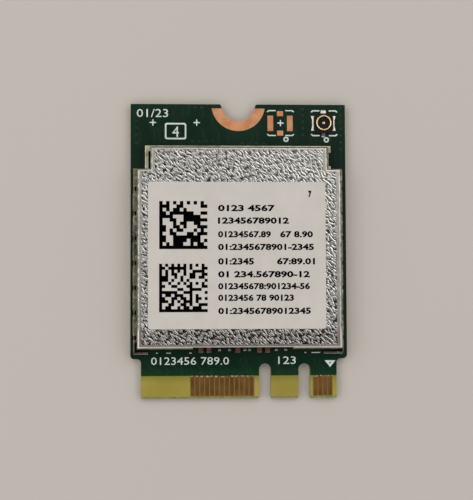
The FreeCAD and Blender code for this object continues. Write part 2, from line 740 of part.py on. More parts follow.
def make_shield_lid():
    """The shallow formed lid: a bent border, a window in front, and a sloping skirt each side of it."""
    body = new_body("shield_lid", x="Size.shield_shift", z=FENCE_TOP)
    outline = new_sketch(body, "LidOutline")
    lid_outline(outline, "0")
    pad(body, "LidBlank", outline, "Size.lid_height")
    round_edges(body, "OuterBends", "Size.lid_bend_radius",
                lambda edge, middle: near(middle.z, "Size.lid_height"))
    inside = new_sketch(body, "LidInsideSketch")
    lid_outline(inside, "Size.lid_metal")
    pocket(body, "LidInside", inside, "Size.lid_height - Size.lid_metal", upwards=True)
    round_edges(body, "InnerBends", "Size.lid_bend_radius - Size.lid_metal",
                lambda edge, middle: near(middle.z, "Size.lid_height - Size.lid_metal"))
    window = new_sketch(body, "WindowSketch", "Size.lid_height")
    rectangle(window, "-Size.window_left_reach", "Size.window_right_reach",
              LID_FRONT, f"{LID_FRONT} + Size.window_cutback")
    pocket(body, "Window", window)
    bend_end = "Size.lid_height - Size.lid_bend_radius"
    slope = [
        (LID_FRONT, bend_end),
        (f"{LID_FRONT} - Size.skirt_flare", "-Size.skirt_drop"),
        (f"{LID_FRONT} - Size.skirt_flare + Size.lid_metal", "-Size.skirt_drop"),
        (f"{LID_FRONT} + Size.lid_metal", bend_end),
    ]
    for name, low, high in (
        ("LeftSkirt", f"({LID_LEFT} + Size.skirt_end_setback)", "-Size.window_left_reach"),
        ("RightSkirt", "Size.window_right_reach", f"({LID_RIGHT} - Size.skirt_end_setback)"),
    ):
        wedge(body, name, "YZ_Plane", low, f"{high} - {low}", slope)
    return body


def make_shield_solder():
    """Solder beads where the fence's walls stand on the board, and low ones under its open front."""
    body = new_body("shield_solder", x="Size.shield_shift", z=BOARD_TOP)
    first = f"{NOTCH_ROW_END} - Size.rim_notch_width / 2 - Size.bead_end_gap"
    run = "Size.rim_notch_pitch - Size.rim_notch_width - 2 * Size.bead_end_gap"
    for name, side in (("Left", "-"), ("Right", "")):
        bead, section = wedge(body, f"{name}Bead", "XZ_Plane", f"-({first})", run,
                              [(f"{side}{FENCE_SIDE}", "0"), (f"{side}({FENCE_SIDE} + Size.bead_width)", "0"),
                               (f"{side}{FENCE_SIDE}", "Size.bead_height")])
        repeat(body, f"{name}Beads", bead, section, "N_Axis", "Size.rim_notch_pitch", f"{NOTCH_COUNT} - 1")
    front_section = [(FENCE_FRONT, "0"), (f"{FENCE_FRONT} - Size.bead_width", "0"),
                     (FENCE_FRONT, "Size.bead_height")]
    for name, start, length in (
        ("FrontLeftBead", f"-{FENCE_SIDE}", "Size.left_corner_length"),
        ("FrontRightBead", f"{FENCE_SIDE} - Size.right_corner_length", "Size.right_corner_length"),
    ):
        wedge(body, name, "YZ_Plane", start, length, front_section)
    open_section = [(FENCE_FRONT, "0"), (f"{FENCE_FRONT} + Size.fence_wall", "0"),
                    (f"{FENCE_FRONT} + Size.fence_wall / 2", "Size.open_bead_height")]
    for number in range(1, OPEN_FRONT_BEADS + 1):
        wedge(body, f"OpenBead{number}", "YZ_Plane", f"Size.open_bead_x{number}",
              f"Size.open_bead_length{number}", open_section)
    count = (f"(floor((2 * {FENCE_NECK} - Size.back_bead_length - Size.back_bead_room)"
             " / Size.back_bead_pitch) + 1)")
    start = f"-(({count} - 1) * Size.back_bead_pitch + Size.back_bead_length) / 2"
    back_section = [(FENCE_BACK, "0"), (f"{FENCE_BACK} + Size.bead_width", "0"),
                    (FENCE_BACK, "Size.bead_height")]
    bead, section = wedge(body, "BackBead", "YZ_Plane", start, "Size.back_bead_length", back_section)
    repeat(body, "BackBeads", bead, section, "N_Axis", "Size.back_bead_pitch", count)
    return body


def make_identity_label():
    """The paper label on the lid, with rounded corners."""
    body = new_body("identity_label", x="Size.shield_shift", z=LID_TOP)
    outline = new_sketch(body, "LabelOutline")
    rectangle(outline, f"{LID_LEFT} + Size.label_left_margin", f"{LID_RIGHT} - Size.label_right_margin",
              f"{LID_FRONT} + Size.label_front_margin", f"{LID_STEP} - Size.label_back_margin")
    pad(body, "Label", outline, "Size.label_thickness")
    round_edges(body, "LabelCorners", "Size.label_corner", lambda edge, middle: upright(edge))
    return body


def make_chip(label, x, y, width, length, height, base="0", dimple=True):
    """A moulded chip with bevelled upper edges and, at its first corner, a round dimple."""
    body = new_body(label, x, y, f"{BOARD_TOP} + {base}")
    outline = new_sketch(body, "ChipOutline")
    centred_rectangle(outline, "0", "0", width, length)
    pad(body, "Chip", outline, height)
    bevel_edges(body, "ChipBevel", "Size.moulding_bevel", lambda edge, middle: near(middle.z, height))
    if dimple:
        mark = new_sketch(body, "DimpleSketch", height)
        circle(mark, f"-({width}) / 2 + Size.dimple_inset", f"({length}) / 2 - Size.dimple_inset",
               "Size.dimple_radius")
        pocket(body, "Dimple", mark, "Size.dimple_depth")
    return body


def make_radio_chip_lands():
    """The lands under the radio chip: four rows of short bars and one large square."""
    body = new_body("radio_chip_lands", y=RADIO_Y, z=BOARD_TOP)
    centre = new_sketch(body, "ThermalLandSketch")
    centred_rectangle(centre, "0", "0", "Size.thermal_land_width", "Size.thermal_land_width")
    pad(body, "ThermalLand", centre, "Size.land_thickness")
    reach = f"({RADIO_REACH} - Size.land_length / 2)"
    count = "(floor((Size.radio_width - Size.land_end_room) / Size.land_pitch) + 1)"
    first = f"-({count} - 1) * Size.land_pitch / 2"
    side_rows = new_sketch(body, "SideRowSketch")
    end_rows = new_sketch(body, "EndRowSketch")
    for side in ("-", ""):
        centred_rectangle(side_rows, f"{side}{reach}", first, "Size.land_length", "Size.land_width")
        centred_rectangle(end_rows, first, f"{side}{reach}", "Size.land_width", "Size.land_length")
    for name, sketch, axis in (("SideLand", side_rows, "V_Axis"), ("EndLand", end_rows, "H_Axis")):
        land = pad(body, name, sketch, "Size.land_thickness")
        repeat(body, f"{name}s", land, sketch, axis, "Size.land_pitch", count)
    return body


def make_two_ended_parts(label, end_label, kind, places, pattern=None):
    """Small parts lying along Y: one body for the middles, one for the metal wrapped over the ends."""
    length, width = f"Size.{kind}_length", f"Size.{kind}_width"
    height, end = f"Size.{kind}_height", f"Size.{kind}_end"
    middles = new_body(label, z=BOARD_TOP)
    ends = new_body(end_label, z=BOARD_TOP)
    middle_sketch = new_sketch(middles, "MiddleSketch")
    end_sketch = new_sketch(ends, "EndSketch")
    for x, y in places:
        centred_rectangle(middle_sketch, x, y, f"{width} - 2 * Size.end_wrap", f"{length} - 2 * {end}")
        for side in ("-", "+"):
            centred_rectangle(end_sketch, x, f"({y}) {side} ({length} - {end}) / 2", width, end)
    middle_pad = pad(middles, "Middle", middle_sketch, f"{height} - Size.end_wrap")
    end_pad = pad(ends, "End", end_sketch, height)
    if pattern:
        repeat(middles, "Middles", middle_pad, middle_sketch, *pattern)
        repeat(ends, "Ends", end_pad, end_sketch, *pattern)


def make_power_inductor():
    """The supply's moulded inductor, with a metal cap at each end, left of the radio chip and before it."""
    y = f"{RADIO_Y} - (Size.inductor_length + Size.side_part_gap) / 2"
    core = new_body("power_inductor", f"-{SIDE_PART_X}", y, BOARD_TOP)
    core_sketch = new_sketch(core, "CoreSketch")
    centred_rectangle(core_sketch, "0", "0", "Size.inductor_width - 2 * Size.inductor_end",
                      "Size.inductor_length - 2 * Size.end_wrap")
    pad(core, "Core", core_sketch, "Size.inductor_height - Size.end_wrap")
    caps = new_body("power_inductor_ends", f"-{SIDE_PART_X}", y, BOARD_TOP)
    cap_sketch = new_sketch(caps, "CapSketch")
    for side in ("-", ""):
        centred_rectangle(cap_sketch, f"{side}(Size.inductor_width - Size.inductor_end) / 2", "0",
                          "Size.inductor_end", "Size.inductor_length")
    pad(caps, "Caps", cap_sketch, "Size.inductor_height")


def make_crystal():
    """The clock crystal right of the radio chip: a ceramic tray with a thin metal lid welded on it."""
    tray = new_body("crystal_base", SIDE_PART_X, RADIO_Y, BOARD_TOP)
    tray_sketch = new_sketch(tray, "TraySketch")
    centred_rectangle(tray_sketch, "0", "0", "Size.crystal_width", "Size.crystal_length")
    pad(tray, "Tray", tray_sketch, "Size.crystal_base_height")
    lid = new_body("crystal_lid", SIDE_PART_X, RADIO_Y, f"{BOARD_TOP} + Size.crystal_base_height")
    lid_sketch = new_sketch(lid, "CrystalLidSketch")
    centred_rectangle(lid_sketch, "0", "0", "Size.crystal_width - 2 * Size.crystal_lid_margin",
                      "Size.crystal_length - 2 * Size.crystal_lid_margin")
    pad(lid, "CrystalLid", lid_sketch, "Size.crystal_lid_height")
    for body, name in ((tray, "TrayCorners"), (lid, "CrystalLidCorners")):
        round_edges(body, name, "Size.crystal_corner", lambda edge, middle: upright(edge))


def make_blocks_in_a_row(label, width, length, height, y, spacing, count):
    """Equal block-shaped parts side by side along X, spread evenly about the middle line."""
    body = new_body(label, y=y, z=BOARD_TOP)
    sketch = new_sketch(body, "BlockSketch")
    centred_rectangle(sketch, f"-({count} - 1) * {spacing} / 2", "0", width, length)
    block = pad(body, "Block", sketch, height)
    repeat(body, "Blocks", block, sketch, "H_Axis", spacing, count)
    return body


def make_parts_under_the_shield():
    """The radio chip and what serves it, inside the fence."""
    make_chip("radio_chip", "0", RADIO_Y, "Size.radio_width", "Size.radio_width", "Size.radio_height",
              base="Size.land_thickness")
    make_radio_chip_lands()
    make_chip("memory_chip", f"-{SIDE_PART_X}", f"{RADIO_Y} + (Size.memory_length + Size.side_part_gap) / 2",
              "Size.memory_width", "Size.memory_length", "Size.memory_height")
    make_power_inductor()
    make_crystal()
    make_blocks_in_a_row("front_end_chips", "Size.front_end_width", "Size.front_end_width",
                         "Size.front_end_height", FRONT_END_Y, "Size.front_end_spacing", "2")
    make_blocks_in_a_row("band_filters", "Size.filter_width", "Size.filter_length",
                         "Size.filter_height", FILTER_Y, "Size.filter_spacing", "3")
    capacitor_count = "(floor((Size.radio_width - Size.capacitor_end_room) / Size.capacitor_pitch) + 1)"
    row_start = f"{RADIO_Y} - ({capacitor_count} - 1) * Size.capacitor_pitch / 2"
    make_two_ended_parts("decoupling_capacitors", "decoupling_capacitor_ends", "chip_part",
                         [(f"-{CAPACITOR_X}", row_start), (CAPACITOR_X, row_start)],
                         ("V_Axis", "Size.capacitor_pitch", capacitor_count))
    resistor_count = "(floor(2 * Size.resistor_row_half_length / Size.resistor_pitch) + 1)"
    make_two_ended_parts("chip_resistors", "chip_resistor_ends", "small_part",
                         [(f"-({resistor_count} - 1) * Size.resistor_pitch / 2", RESISTOR_Y)],
                         ("H_Axis", "Size.resistor_pitch", resistor_count))


def make_parts_in_the_window():
    """The small parts that show between the lid's lower edge and the fence's foot."""
    for label, kind, count in (("window_capacitor", "chip_part", WINDOW_CAPACITORS),
                               ("window_resistor", "small_part", WINDOW_RESISTORS)):
        y = f"{FENCE_FRONT} + Size.{label}_gap + Size.{kind}_length / 2"
        places = [(f"Size.{label}_x{number}", y) for number in range(1, count + 1)]
        make_two_ended_parts(f"{label}s", f"{label}_ends", kind, places)


make_circuit_board()
make_edge_contacts("edge_contacts_top", TOP_CONTACTS, COPPER_TOP_BASE)
make_edge_contacts("edge_contacts_bottom", BOTTOM_CONTACTS, "0")
make_ground_ring("ground_ring_top", COPPER_TOP_BASE)
make_ground_ring("ground_ring_bottom", "0")
make_spare_pads()
make_receptacle_housing(make_receptacle_shell(), make_receptacle_pin())
make_receptacle_solder()
make_shield_frame()
make_shield_lid()
make_shield_solder()
make_identity_label()
make_parts_in_the_window()
make_parts_under_the_shield()
doc.recompute()


def check_document():
    """Stop if any object failed, or if a cut took nothing away."""
    for item in doc.Objects:
        if "Invalid" in item.State or "Error" in item.State:
            raise RuntimeError(f"{item.Name} failed: {item.State}")
        if item.TypeId == "PartDesign::Pocket":
            before = item.BaseFeature.Shape.Volume
            if before - item.Shape.Volume < TINY_VOLUME:
                raise RuntimeError(f"{item.Name} cuts nothing")


def export_parts():
    """Write each sub-part's shape, once it is whole and valid, under its own label."""
    helpers = {"receptacle_block", "housing_round_shell"}
    for item in doc.Objects:
        if item.TypeId not in ("PartDesign::Body", "Part::Cut") or item.Name in helpers:
            continue
        if item.Shape.isNull() or not item.Shape.isValid():
            raise RuntimeError(f"{item.Label} has no valid shape")
        item.Shape.exportStep(f"parts/{item.Label}.step")
        print(f"{item.Label}: {len(item.Shape.Solids)} solids, {item.Shape.Volume:.4f} mm3")


check_document()
export_parts()
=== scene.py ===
# %% [markdown]
# A plug-in wireless network card, dressed for a photograph.
# The real card is a thin green circuit board with a contact tongue, a half-round screw notch, a sheet-metal
# shield under a paper label, and one small coaxial antenna receptacle. Its solid parts come in already built
# and at their real size, so this lesson only finishes them: it lights them, gives each one a material, and
# models what is too fine for the solids, such as the embossed grain, the print and the tracks.
# We start by loading those parts and noting the space that they fill.

# %% Load the card
import bmesh
import bpy
import math
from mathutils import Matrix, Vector


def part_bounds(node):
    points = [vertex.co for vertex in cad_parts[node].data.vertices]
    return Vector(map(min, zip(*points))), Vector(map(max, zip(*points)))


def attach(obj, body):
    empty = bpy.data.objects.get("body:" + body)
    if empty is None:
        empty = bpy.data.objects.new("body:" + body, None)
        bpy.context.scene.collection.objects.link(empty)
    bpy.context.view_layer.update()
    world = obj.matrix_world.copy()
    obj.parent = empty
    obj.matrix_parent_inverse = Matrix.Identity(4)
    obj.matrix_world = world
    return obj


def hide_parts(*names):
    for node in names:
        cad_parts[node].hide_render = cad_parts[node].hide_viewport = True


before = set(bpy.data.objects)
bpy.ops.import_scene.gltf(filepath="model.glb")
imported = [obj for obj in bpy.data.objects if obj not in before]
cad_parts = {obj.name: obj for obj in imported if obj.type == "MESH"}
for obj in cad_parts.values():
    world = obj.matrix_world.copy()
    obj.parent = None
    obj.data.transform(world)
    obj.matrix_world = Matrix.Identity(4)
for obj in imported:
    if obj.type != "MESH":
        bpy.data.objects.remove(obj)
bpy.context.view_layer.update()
MM = 0.001
print("parts:", len(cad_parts))

# %% [markdown]
# Every size below is a real size in millimetres. What the loaded parts already say, such as how high the
# board's face lies, is read from them, so that the finish stays on its part.

# %% Measure the parts that carry the finish
def part_box(name):
    """The lowest and highest corner of a part, in millimetres."""
    low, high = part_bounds(name)
    return low / MM, high / MM


BOARD_LOW, BOARD_HIGH = part_box("circuit_board")
LID_LOW, LID_HIGH = part_box("shield_lid")
LABEL_LOW, LABEL_HIGH = part_box("identity_label")
FENCE_TOP = part_box("shield_frame")[1].z
BOARD_TOP = BOARD_HIGH.z
CONTACT_TOP = BOARD_LOW.y + 2.26
COATING_EDGE = BOARD_LOW.y + 2.3
print("board", tuple(round(v, 2) for v in BOARD_HIGH - BOARD_LOW), "mm")

# %% [markdown]
# The photograph looks almost straight down, from a point a little left of the card's middle and nearer to its
# contacts. The place and the lean were worked out from the corners of the board, the key notches and the
# shield, whose real places are known, so that all of them fall where the photograph has them.

# %% Set up the camera
PHOTO_HEIGHT = 500
FOCAL_PIXELS = 1176
SENSOR = 36
CAMERA_PLACE = Vector((-6.066, -6.694, 120.293))
CAMERA_LEAN = (3.231, -2.786, -0.207)

camera_data = bpy.data.cameras.new("camera")
camera_data.sensor_width = SENSOR
camera_data.lens = FOCAL_PIXELS / PHOTO_HEIGHT * SENSOR
camera_data.clip_start = MM
camera = bpy.data.objects.new("camera", camera_data)
camera.location = CAMERA_PLACE * MM
camera.rotation_euler = [math.radians(angle) for angle in CAMERA_LEAN]
bpy.context.scene.collection.objects.link(camera)
bpy.context.scene.camera = camera
bpy.context.scene.view_settings.view_transform = "Standard"
print("lens", round(camera_data.lens, 1), "mm")

# %% [markdown]
# Nodes are wired in many places below, and most of that wiring is arithmetic. So a small class stands for the
# output of a node. Adding, multiplying or comparing two of them adds the node that works it out, and the
# formulas further down read as plain sums.

# %% Arithmetic with nodes
class Flow:
    """The output of a node. Arithmetic on it adds the node that works out the result."""

    def __init__(self, tree, socket):
        self.tree, self.socket = tree, socket

    def __add__(self, other):
        return maths("ADD", self, other)

    def __radd__(self, other):
        return maths("ADD", other, self)

    def __sub__(self, other):
        return maths("SUBTRACT", self, other)

    def __rsub__(self, other):
        return maths("SUBTRACT", other, self)

    def __mul__(self, other):
        return maths("MULTIPLY", self, other)

    def __truediv__(self, other):
        return maths("DIVIDE", self, other)

    def __mod__(self, other):
        return maths("MODULO", self, other)

    def __gt__(self, other):
        return maths("GREATER_THAN", self, other)

    def __lt__(self, other):
        return maths("LESS_THAN", self, other)


def fill(tree, node, inputs):
    """Put numbers into a node's sockets, and link the outputs of other nodes to them."""
    for key, value in inputs.items():
        if isinstance(value, Flow):
            tree.links.new(value.socket, node.inputs[key])
        else:
            node.inputs[key].default_value = value
    return node


def add_node(tree, kind, output, inputs=None, **settings):
    """One output of a new node, whose settings are made and whose sockets are filled."""
    node = tree.nodes.new(kind)
    for name, value in settings.items():
        setattr(node, name, value)
    return Flow(tree, fill(tree, node, inputs or {}).outputs[output])


def maths(operation, *values, clamp=False):
    """The result of one arithmetic step on outputs and numbers."""
    tree = next(value.tree for value in values if isinstance(value, Flow))
    return add_node(tree, "ShaderNodeMath", 0, dict(enumerate(values)), operation=operation, use_clamp=clamp)


def vector_maths(operation, first, second, output=0):
    """The result of one step of vector arithmetic."""
    return add_node(first.tree, "ShaderNodeVectorMath", output, {0: first, 1: second}, operation=operation)


print("an output can be added, subtracted, multiplied, divided and compared")

# %% [markdown]
# The rest of the wiring is a handful of moves that come back all the time: taking one axis of a place, ramping
# a value up, mixing two colours, and drawing a noise.

# %% Helpers for node trees
def object_place(tree):
    """Where a point lies in the object's own coordinates."""
    return add_node(tree, "ShaderNodeTexCoord", "Object")


def axis(vector, name):
    """One of the three parts of a vector."""
    return add_node(vector.tree, "ShaderNodeSeparateXYZ", name, {0: vector})


def vector_of(tree, x=0.0, y=0.0, z=0.0):
    """A vector put together from its three parts."""
    return add_node(tree, "ShaderNodeCombineXYZ", 0, {0: x, 1: y, 2: z})


def ramp(value, low, high):
    """A smooth change from 0 to 1 as a value goes from low to high."""
    return add_node(value.tree, "ShaderNodeMapRange", "Result", {"Value": value, "From Min": low, "From Max": high},
                    interpolation_type="SMOOTHSTEP")


def ramp_mm(value, low, high):
    """The same for a length, whose two ends are given in millimetres."""
    return ramp(value, low * MM, high * MM)


def blend(share, first, second):
    """A colour between two colours."""
    return add_node(share.tree, "ShaderNodeMix", 2, {0: share, 6: first, 7: second}, data_type="RGBA")


def noise(place, scale, detail, output="Fac", seed=None):
    """A cloudy pattern, in one more dimension where a seed is to move it."""
    inputs = {"Vector": place, "Scale": scale, "Detail": detail}
    if seed is None:
        return add_node(place.tree, "ShaderNodeTexNoise", output, inputs)
    return add_node(place.tree, "ShaderNodeTexNoise", output, {**inputs, "W": seed}, noise_dimensions="4D")


def paint(red, green, blue):
    """A colour given as it looks on a screen, from 0 to 255, turned into light."""
    return tuple((value / 255 / 12.92) if value < 11 else ((value / 255 + 0.055) / 1.055) ** 2.4
                 for value in (red, green, blue)) + (1.0,)


def new_finish(name):
    """A material with its shader ready to be fed."""
    material = bpy.data.materials.new(name)
    material.use_nodes = True
    return material, material.node_tree, material.node_tree.nodes["Principled BSDF"]


print("a mid grey of 128 is", round(paint(128, 128, 128)[0], 3), "as light")

# %% [markdown]
# The light is plain and soft: a dome, as in a room with pale walls, and four soft boxes. Polished metal shows
# its surroundings. In the photograph the shield is darkest where it mirrors what hangs straight above it, and
# grows brighter away from there. So the dome has one dark patch overhead, and from the patch's edge down to the
# horizon it is a plain pale wall, which is also the backdrop that a low view sees. The patch is what lets the
# grain read as bright and dark strokes.

# %% Light the dome
PATCH_TOWARDS = Vector((0.02, -0.13, 1.0)).normalized()
PATCH_REACH = 0.44
PATCH_LEVEL = 0.01
PATCH_EDGE_LEVEL = 0.66
HORIZON_LEVEL = 0.5
DOME_TINT = (1.0, 0.985, 0.965, 1.0)

world = bpy.data.worlds.new("room")
bpy.context.scene.world = world
world.use_nodes = True
sky = world.node_tree
sky.nodes.clear()
direction = add_node(sky, "ShaderNodeTexCoord", "Generated")
closeness = vector_maths("DOT_PRODUCT", direction, PATCH_TOWARDS, "Value")
angle = maths("SQRT", (1 - closeness) * 2)
out_of_patch = maths("DIVIDE", angle, PATCH_REACH, clamp=True)
to_horizon = maths("SUBTRACT", angle, PATCH_REACH, clamp=True)
level = out_of_patch * (PATCH_EDGE_LEVEL - PATCH_LEVEL) + PATCH_LEVEL
level = level + to_horizon * (HORIZON_LEVEL - PATCH_EDGE_LEVEL)
room_light = add_node(sky, "ShaderNodeBackground", 0, {"Color": DOME_TINT, "Strength": level})
fill(sky, sky.nodes.new("ShaderNodeOutputWorld"), {"Surface": room_light})
print("dome from", PATCH_LEVEL, "in the patch to", HORIZON_LEVEL, "at the horizon")

# %% Add the soft boxes
BOX_DISTANCE = 260
SOFT_BOXES = (
    # name, direction round the card and from straight up in degrees, width and length in mm, brightness
    ("key", 50, 38, 240, 150, 1.45),
    ("window", 150, 44, 240, 150, 1.55),
    ("fill", 225, 46, 220, 130, 1.2),
    ("rim", 330, 46, 200, 130, 0.95),
)


def soft_box(name, turn, lean, width, length, brightness):
    """A rectangular lamp that faces the card."""
    lamp = bpy.data.lights.new(name, "AREA")
    lamp.shape = "RECTANGLE"
    lamp.size, lamp.size_y = width * MM, length * MM
    lamp.energy = brightness * math.pi * lamp.size * lamp.size_y
    holder = bpy.data.objects.new(name, lamp)
    turn, lean = math.radians(turn), math.radians(lean)
    towards = Vector((math.cos(turn) * math.sin(lean), math.sin(turn) * math.sin(lean), math.cos(lean)))
    holder.location = towards * BOX_DISTANCE * MM
    holder.rotation_euler = towards.to_track_quat("Z", "Y").to_euler()
    holder.visible_camera = False
    bpy.context.scene.collection.objects.link(holder)


for box in SOFT_BOXES:
    soft_box(*box)
print("soft boxes:", len(SOFT_BOXES))

# %% [markdown]
# The card lies on a plain pale table. The table is only a stage.

# %% Lay the table
TABLE_REACH = 1500
TABLE_DROP = 0.002
TABLE_COLOUR = paint(186, 179, 172)

table_mesh = bpy.data.meshes.new("table")
table_mesh.from_pydata([(x * TABLE_REACH * MM, y * TABLE_REACH * MM, -TABLE_DROP * MM)
                        for x, y in ((-1, -1), (1, -1), (1, 1), (-1, 1))], [], [(0, 1, 2, 3)])
table = bpy.data.objects.new("table", table_mesh)
bpy.context.scene.collection.objects.link(table)
table_material, table_tree, table_surface = new_finish("pale_table")
fill(table_tree, table_surface, {"Base Color": TABLE_COLOUR, "Roughness": 0.8, "Specular IOR Level": 0.2})
table_mesh.materials.append(table_material)
print("table laid")

# %% [markdown]
# Several finishes need the same effects, so each effect is a group that is built once. A group only works
# out colours, masks and normals. The shader itself stays in each material. All patterns are read from the
# object's own coordinates, so they sit still when the card is turned.

# %% Start a node group
def outputs_of(tree, node):
    """The outputs of a node by name."""
    return {socket.name: Flow(tree, socket) for socket in node.outputs}


def node_group(kind, name, inputs, outputs):
    """An empty group with named sockets; gives the tree, its inputs by name and its output node."""
    tree = bpy.data.node_groups.new(name, kind)
    for label, stuff, *value in inputs:
        socket = tree.interface.new_socket(label, in_out="INPUT", socket_type="NodeSocket" + stuff)
        if value:
            socket.default_value = value[0]
    for label, stuff in outputs:
        tree.interface.new_socket(label, in_out="OUTPUT", socket_type="NodeSocket" + stuff)
    print("group:", name)
    return tree, outputs_of(tree, tree.nodes.new("NodeGroupInput")), tree.nodes.new("NodeGroupOutput")


def place_group(tree, group, inputs):
    """One use of a group inside a material; gives its outputs by name."""
    node = tree.nodes.new("ShaderNodeGroup")
    node.node_tree = group
    return outputs_of(tree, fill(tree, node, inputs))


# %% Group: uneven colour
def make_uneven_colour():
    """Two shades that drift into each other, as plating, ink and ceramic do."""
    tree, given, result = node_group(
        "ShaderNodeTree", "uneven_colour",
        [("Spots per metre", "Float", 1000.0), ("Shade one", "Color", (0, 0, 0, 1)),
         ("Shade two", "Color", (1, 1, 1, 1)), ("Softness", "Float", 0.2)],
        [("Colour", "Color"), ("Mask", "Float")])
    cloud = noise(object_place(tree), given["Spots per metre"], 3.0)
    mask = ramp(cloud, 0.5 - given["Softness"], 0.5 + given["Softness"])
    fill(tree, result, {"Colour": blend(mask, given["Shade one"], given["Shade two"]), "Mask": mask})
    return tree


UNEVEN_COLOUR = make_uneven_colour()


def drifting(tree, spots, shades, softness):
    """Two shades that drift into each other, with so many spots in a metre: their colour and their mask."""
    return place_group(tree, UNEVEN_COLOUR, {"Spots per metre": spots, "Shade one": paint(*shades[0]),
                                             "Shade two": paint(*shades[1]), "Softness": softness})


# %% Group: fine relief
def make_fine_relief():
    """A shallow bumpiness with its own scale along X, Y and Z."""
    tree, given, result = node_group(
        "ShaderNodeTree", "fine_relief",
        [("Bumps per metre", "Vector", (1000.0,) * 3), ("Depth", "Float", 0.00001), ("Strength", "Float", 0.3)],
        [("Normal", "Vector")])
    bumps = noise(vector_maths("MULTIPLY", object_place(tree), given["Bumps per metre"]), 1.0, 2.0)
    fill(tree, result, {"Normal": add_node(tree, "ShaderNodeBump", "Normal", {
        "Height": bumps, "Distance": given["Depth"], "Strength": given["Strength"]})})
    return tree


FINE_RELIEF = make_fine_relief()


def fine_normal(tree, bumps, depth, strength):
    """A surface roughened by so many bumps in a metre, as deep as a length in millimetres."""
    return place_group(tree, FINE_RELIEF, {"Bumps per metre": bumps, "Depth": depth * MM,
                                           "Strength": strength})["Normal"]


# %% Group: glass cloth
CLOTH_PITCH = 0.42


def make_glass_cloth():
    """The woven glass in the bare board: a mask of threads that cross at right angles."""
    tree, given, result = node_group(
        "ShaderNodeTree", "glass_cloth", [("Threads per metre", "Float", 1 / (CLOTH_PITCH * MM))],
        [("Mask", "Float")])
    place = object_place(tree)
    waves = [maths("SINE", axis(place, name) * given["Threads per metre"] * (2 * math.pi)) for name in "XY"]
    fill(tree, result, {"Mask": ramp(waves[0] * waves[1], -1.0, 1.0)})
    return tree


GLASS_CLOTH = make_glass_cloth()

# %% Group: dust
DUST_COLOUR = paint(186, 180, 170)


def make_dust():
    """Where a little dust has settled: on what faces up, in scattered patches."""
    tree, given, result = node_group("ShaderNodeTree", "dust", [("Amount", "Float", 0.1)], [("Mask", "Float")])
    patches = ramp(noise(object_place(tree), 420.0, 6.0), 0.45, 0.75)
    facing_up = ramp(axis(add_node(tree, "ShaderNodeNewGeometry", "Normal"), "Z"), 0.5, 1.0)
    fill(tree, result, {"Mask": patches * facing_up * given["Amount"]})
    return tree


DUST = make_dust()


def dust_mask(tree, amount):
    """Where dust lies, and how thickly."""
    return place_group(tree, DUST, {"Amount": amount})["Mask"]


print("shader groups:", len(bpy.data.node_groups))

# %% [markdown]
# Now the finishes. Most of them differ only in a few values, so one function makes a plain finish from two
# shades, a roughness and a relief. The board, the label and the shield get functions of their own.

# %% A plain finish
def plain_finish(name, shades, roughness, metallic=0.0, spots=1800.0, relief=(9000.0,) * 3, depth=0.004,
                 coat=0.0, dust=0.1, gloss=0.5):
    """A finish of two drifting shades, with fine relief, uneven gloss and a trace of dust."""
    material, tree, surface = new_finish(name)
    uneven = drifting(tree, spots, shades, 0.22)
    dusty = dust_mask(tree, dust)
    fill(tree, surface, {
        "Base Color": blend(dusty, uneven["Colour"], DUST_COLOUR),
        "Roughness": roughness + uneven["Mask"] * 0.12 + dusty * 0.4,
        "Normal": fine_normal(tree, relief, depth, 0.35),
        "Metallic": metallic, "Specular IOR Level": gloss, "Coat Weight": coat, "Coat Roughness": 0.12})
    return material


def dress(material, *names):
    """Give a material to parts that stay as they were built."""
    for name in names:
        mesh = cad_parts[name].data
        mesh.materials.clear()
        mesh.materials.append(material)


# %% Finish the small parts
PLAIN_FINISHES = (
    # finish, its two shades, roughness, what else sets it apart, and the parts that have it
    ("bright_solder", ((214, 212, 204), (238, 236, 228)), 0.22,
     {"metallic": 0.65, "spots": 2500, "relief": (2600.0,) * 3, "depth": 0.03},
     ("receptacle_solder", "shield_solder", "radio_chip_lands", "power_inductor_ends",
      "decoupling_capacitor_ends", "chip_resistor_ends")),
    ("bare_copper", ((180, 114, 69), (200, 142, 101)), 0.42,
     {"metallic": 0.55, "spots": 900, "relief": (5000.0,) * 3, "depth": 0.006, "coat": 0.1},
     ("ground_ring_top", "ground_ring_bottom", "spare_antenna_pads")),
    # The tin ends of the parts seen through the lid's window are darker copies of the bright solder: painted shade.
    ("dark_tin_in_painted_shade", ((74, 60, 54), (104, 88, 78)), 0.4,
     {"metallic": 0.6, "spots": 2500, "dust": 0.0, "gloss": 0.3}, ("window_capacitor_ends",)),
    ("grey_tin_in_painted_shade", ((128, 130, 122), (168, 170, 162)), 0.4,
     {"metallic": 0.5, "spots": 2500, "dust": 0.0, "gloss": 0.3}, ("window_resistor_ends",)),
    ("black_moulding", ((7, 7, 7), (14, 12, 10)), 0.5,
     {"depth": 0.008, "dust": 0.0, "gloss": 0.2}, ("receptacle_housing",)),
    ("chip_moulding", ((30, 30, 32), (42, 42, 44)), 0.5,
     {"relief": (16000.0,) * 3, "depth": 0.008}, ("radio_chip", "memory_chip", "front_end_chips")),
    ("brown_ceramic", ((84, 46, 38), (108, 60, 50)), 0.4,
     {"depth": 0.006, "dust": 0.0, "gloss": 0.3}, ("window_capacitors", "decoupling_capacitors")),
    ("resistor_black", ((28, 28, 30), (42, 42, 44)), 0.35,
     {"depth": 0.005, "dust": 0.02}, ("window_resistors", "chip_resistors")),
    ("dark_ferrite", ((66, 66, 66), (86, 84, 82)), 0.55,
     {"relief": (12000.0,) * 3, "depth": 0.012}, ("power_inductor",)),
    ("pale_ceramic", ((196, 186, 170), (214, 206, 192)), 0.35, {}, ("crystal_base", "band_filters")),
    ("nickel_lid", ((196, 190, 176), (214, 208, 196)), 0.22,
     {"metallic": 1.0, "relief": (14000.0, 1200.0, 1200.0), "depth": 0.003}, ("crystal_lid",)),
)
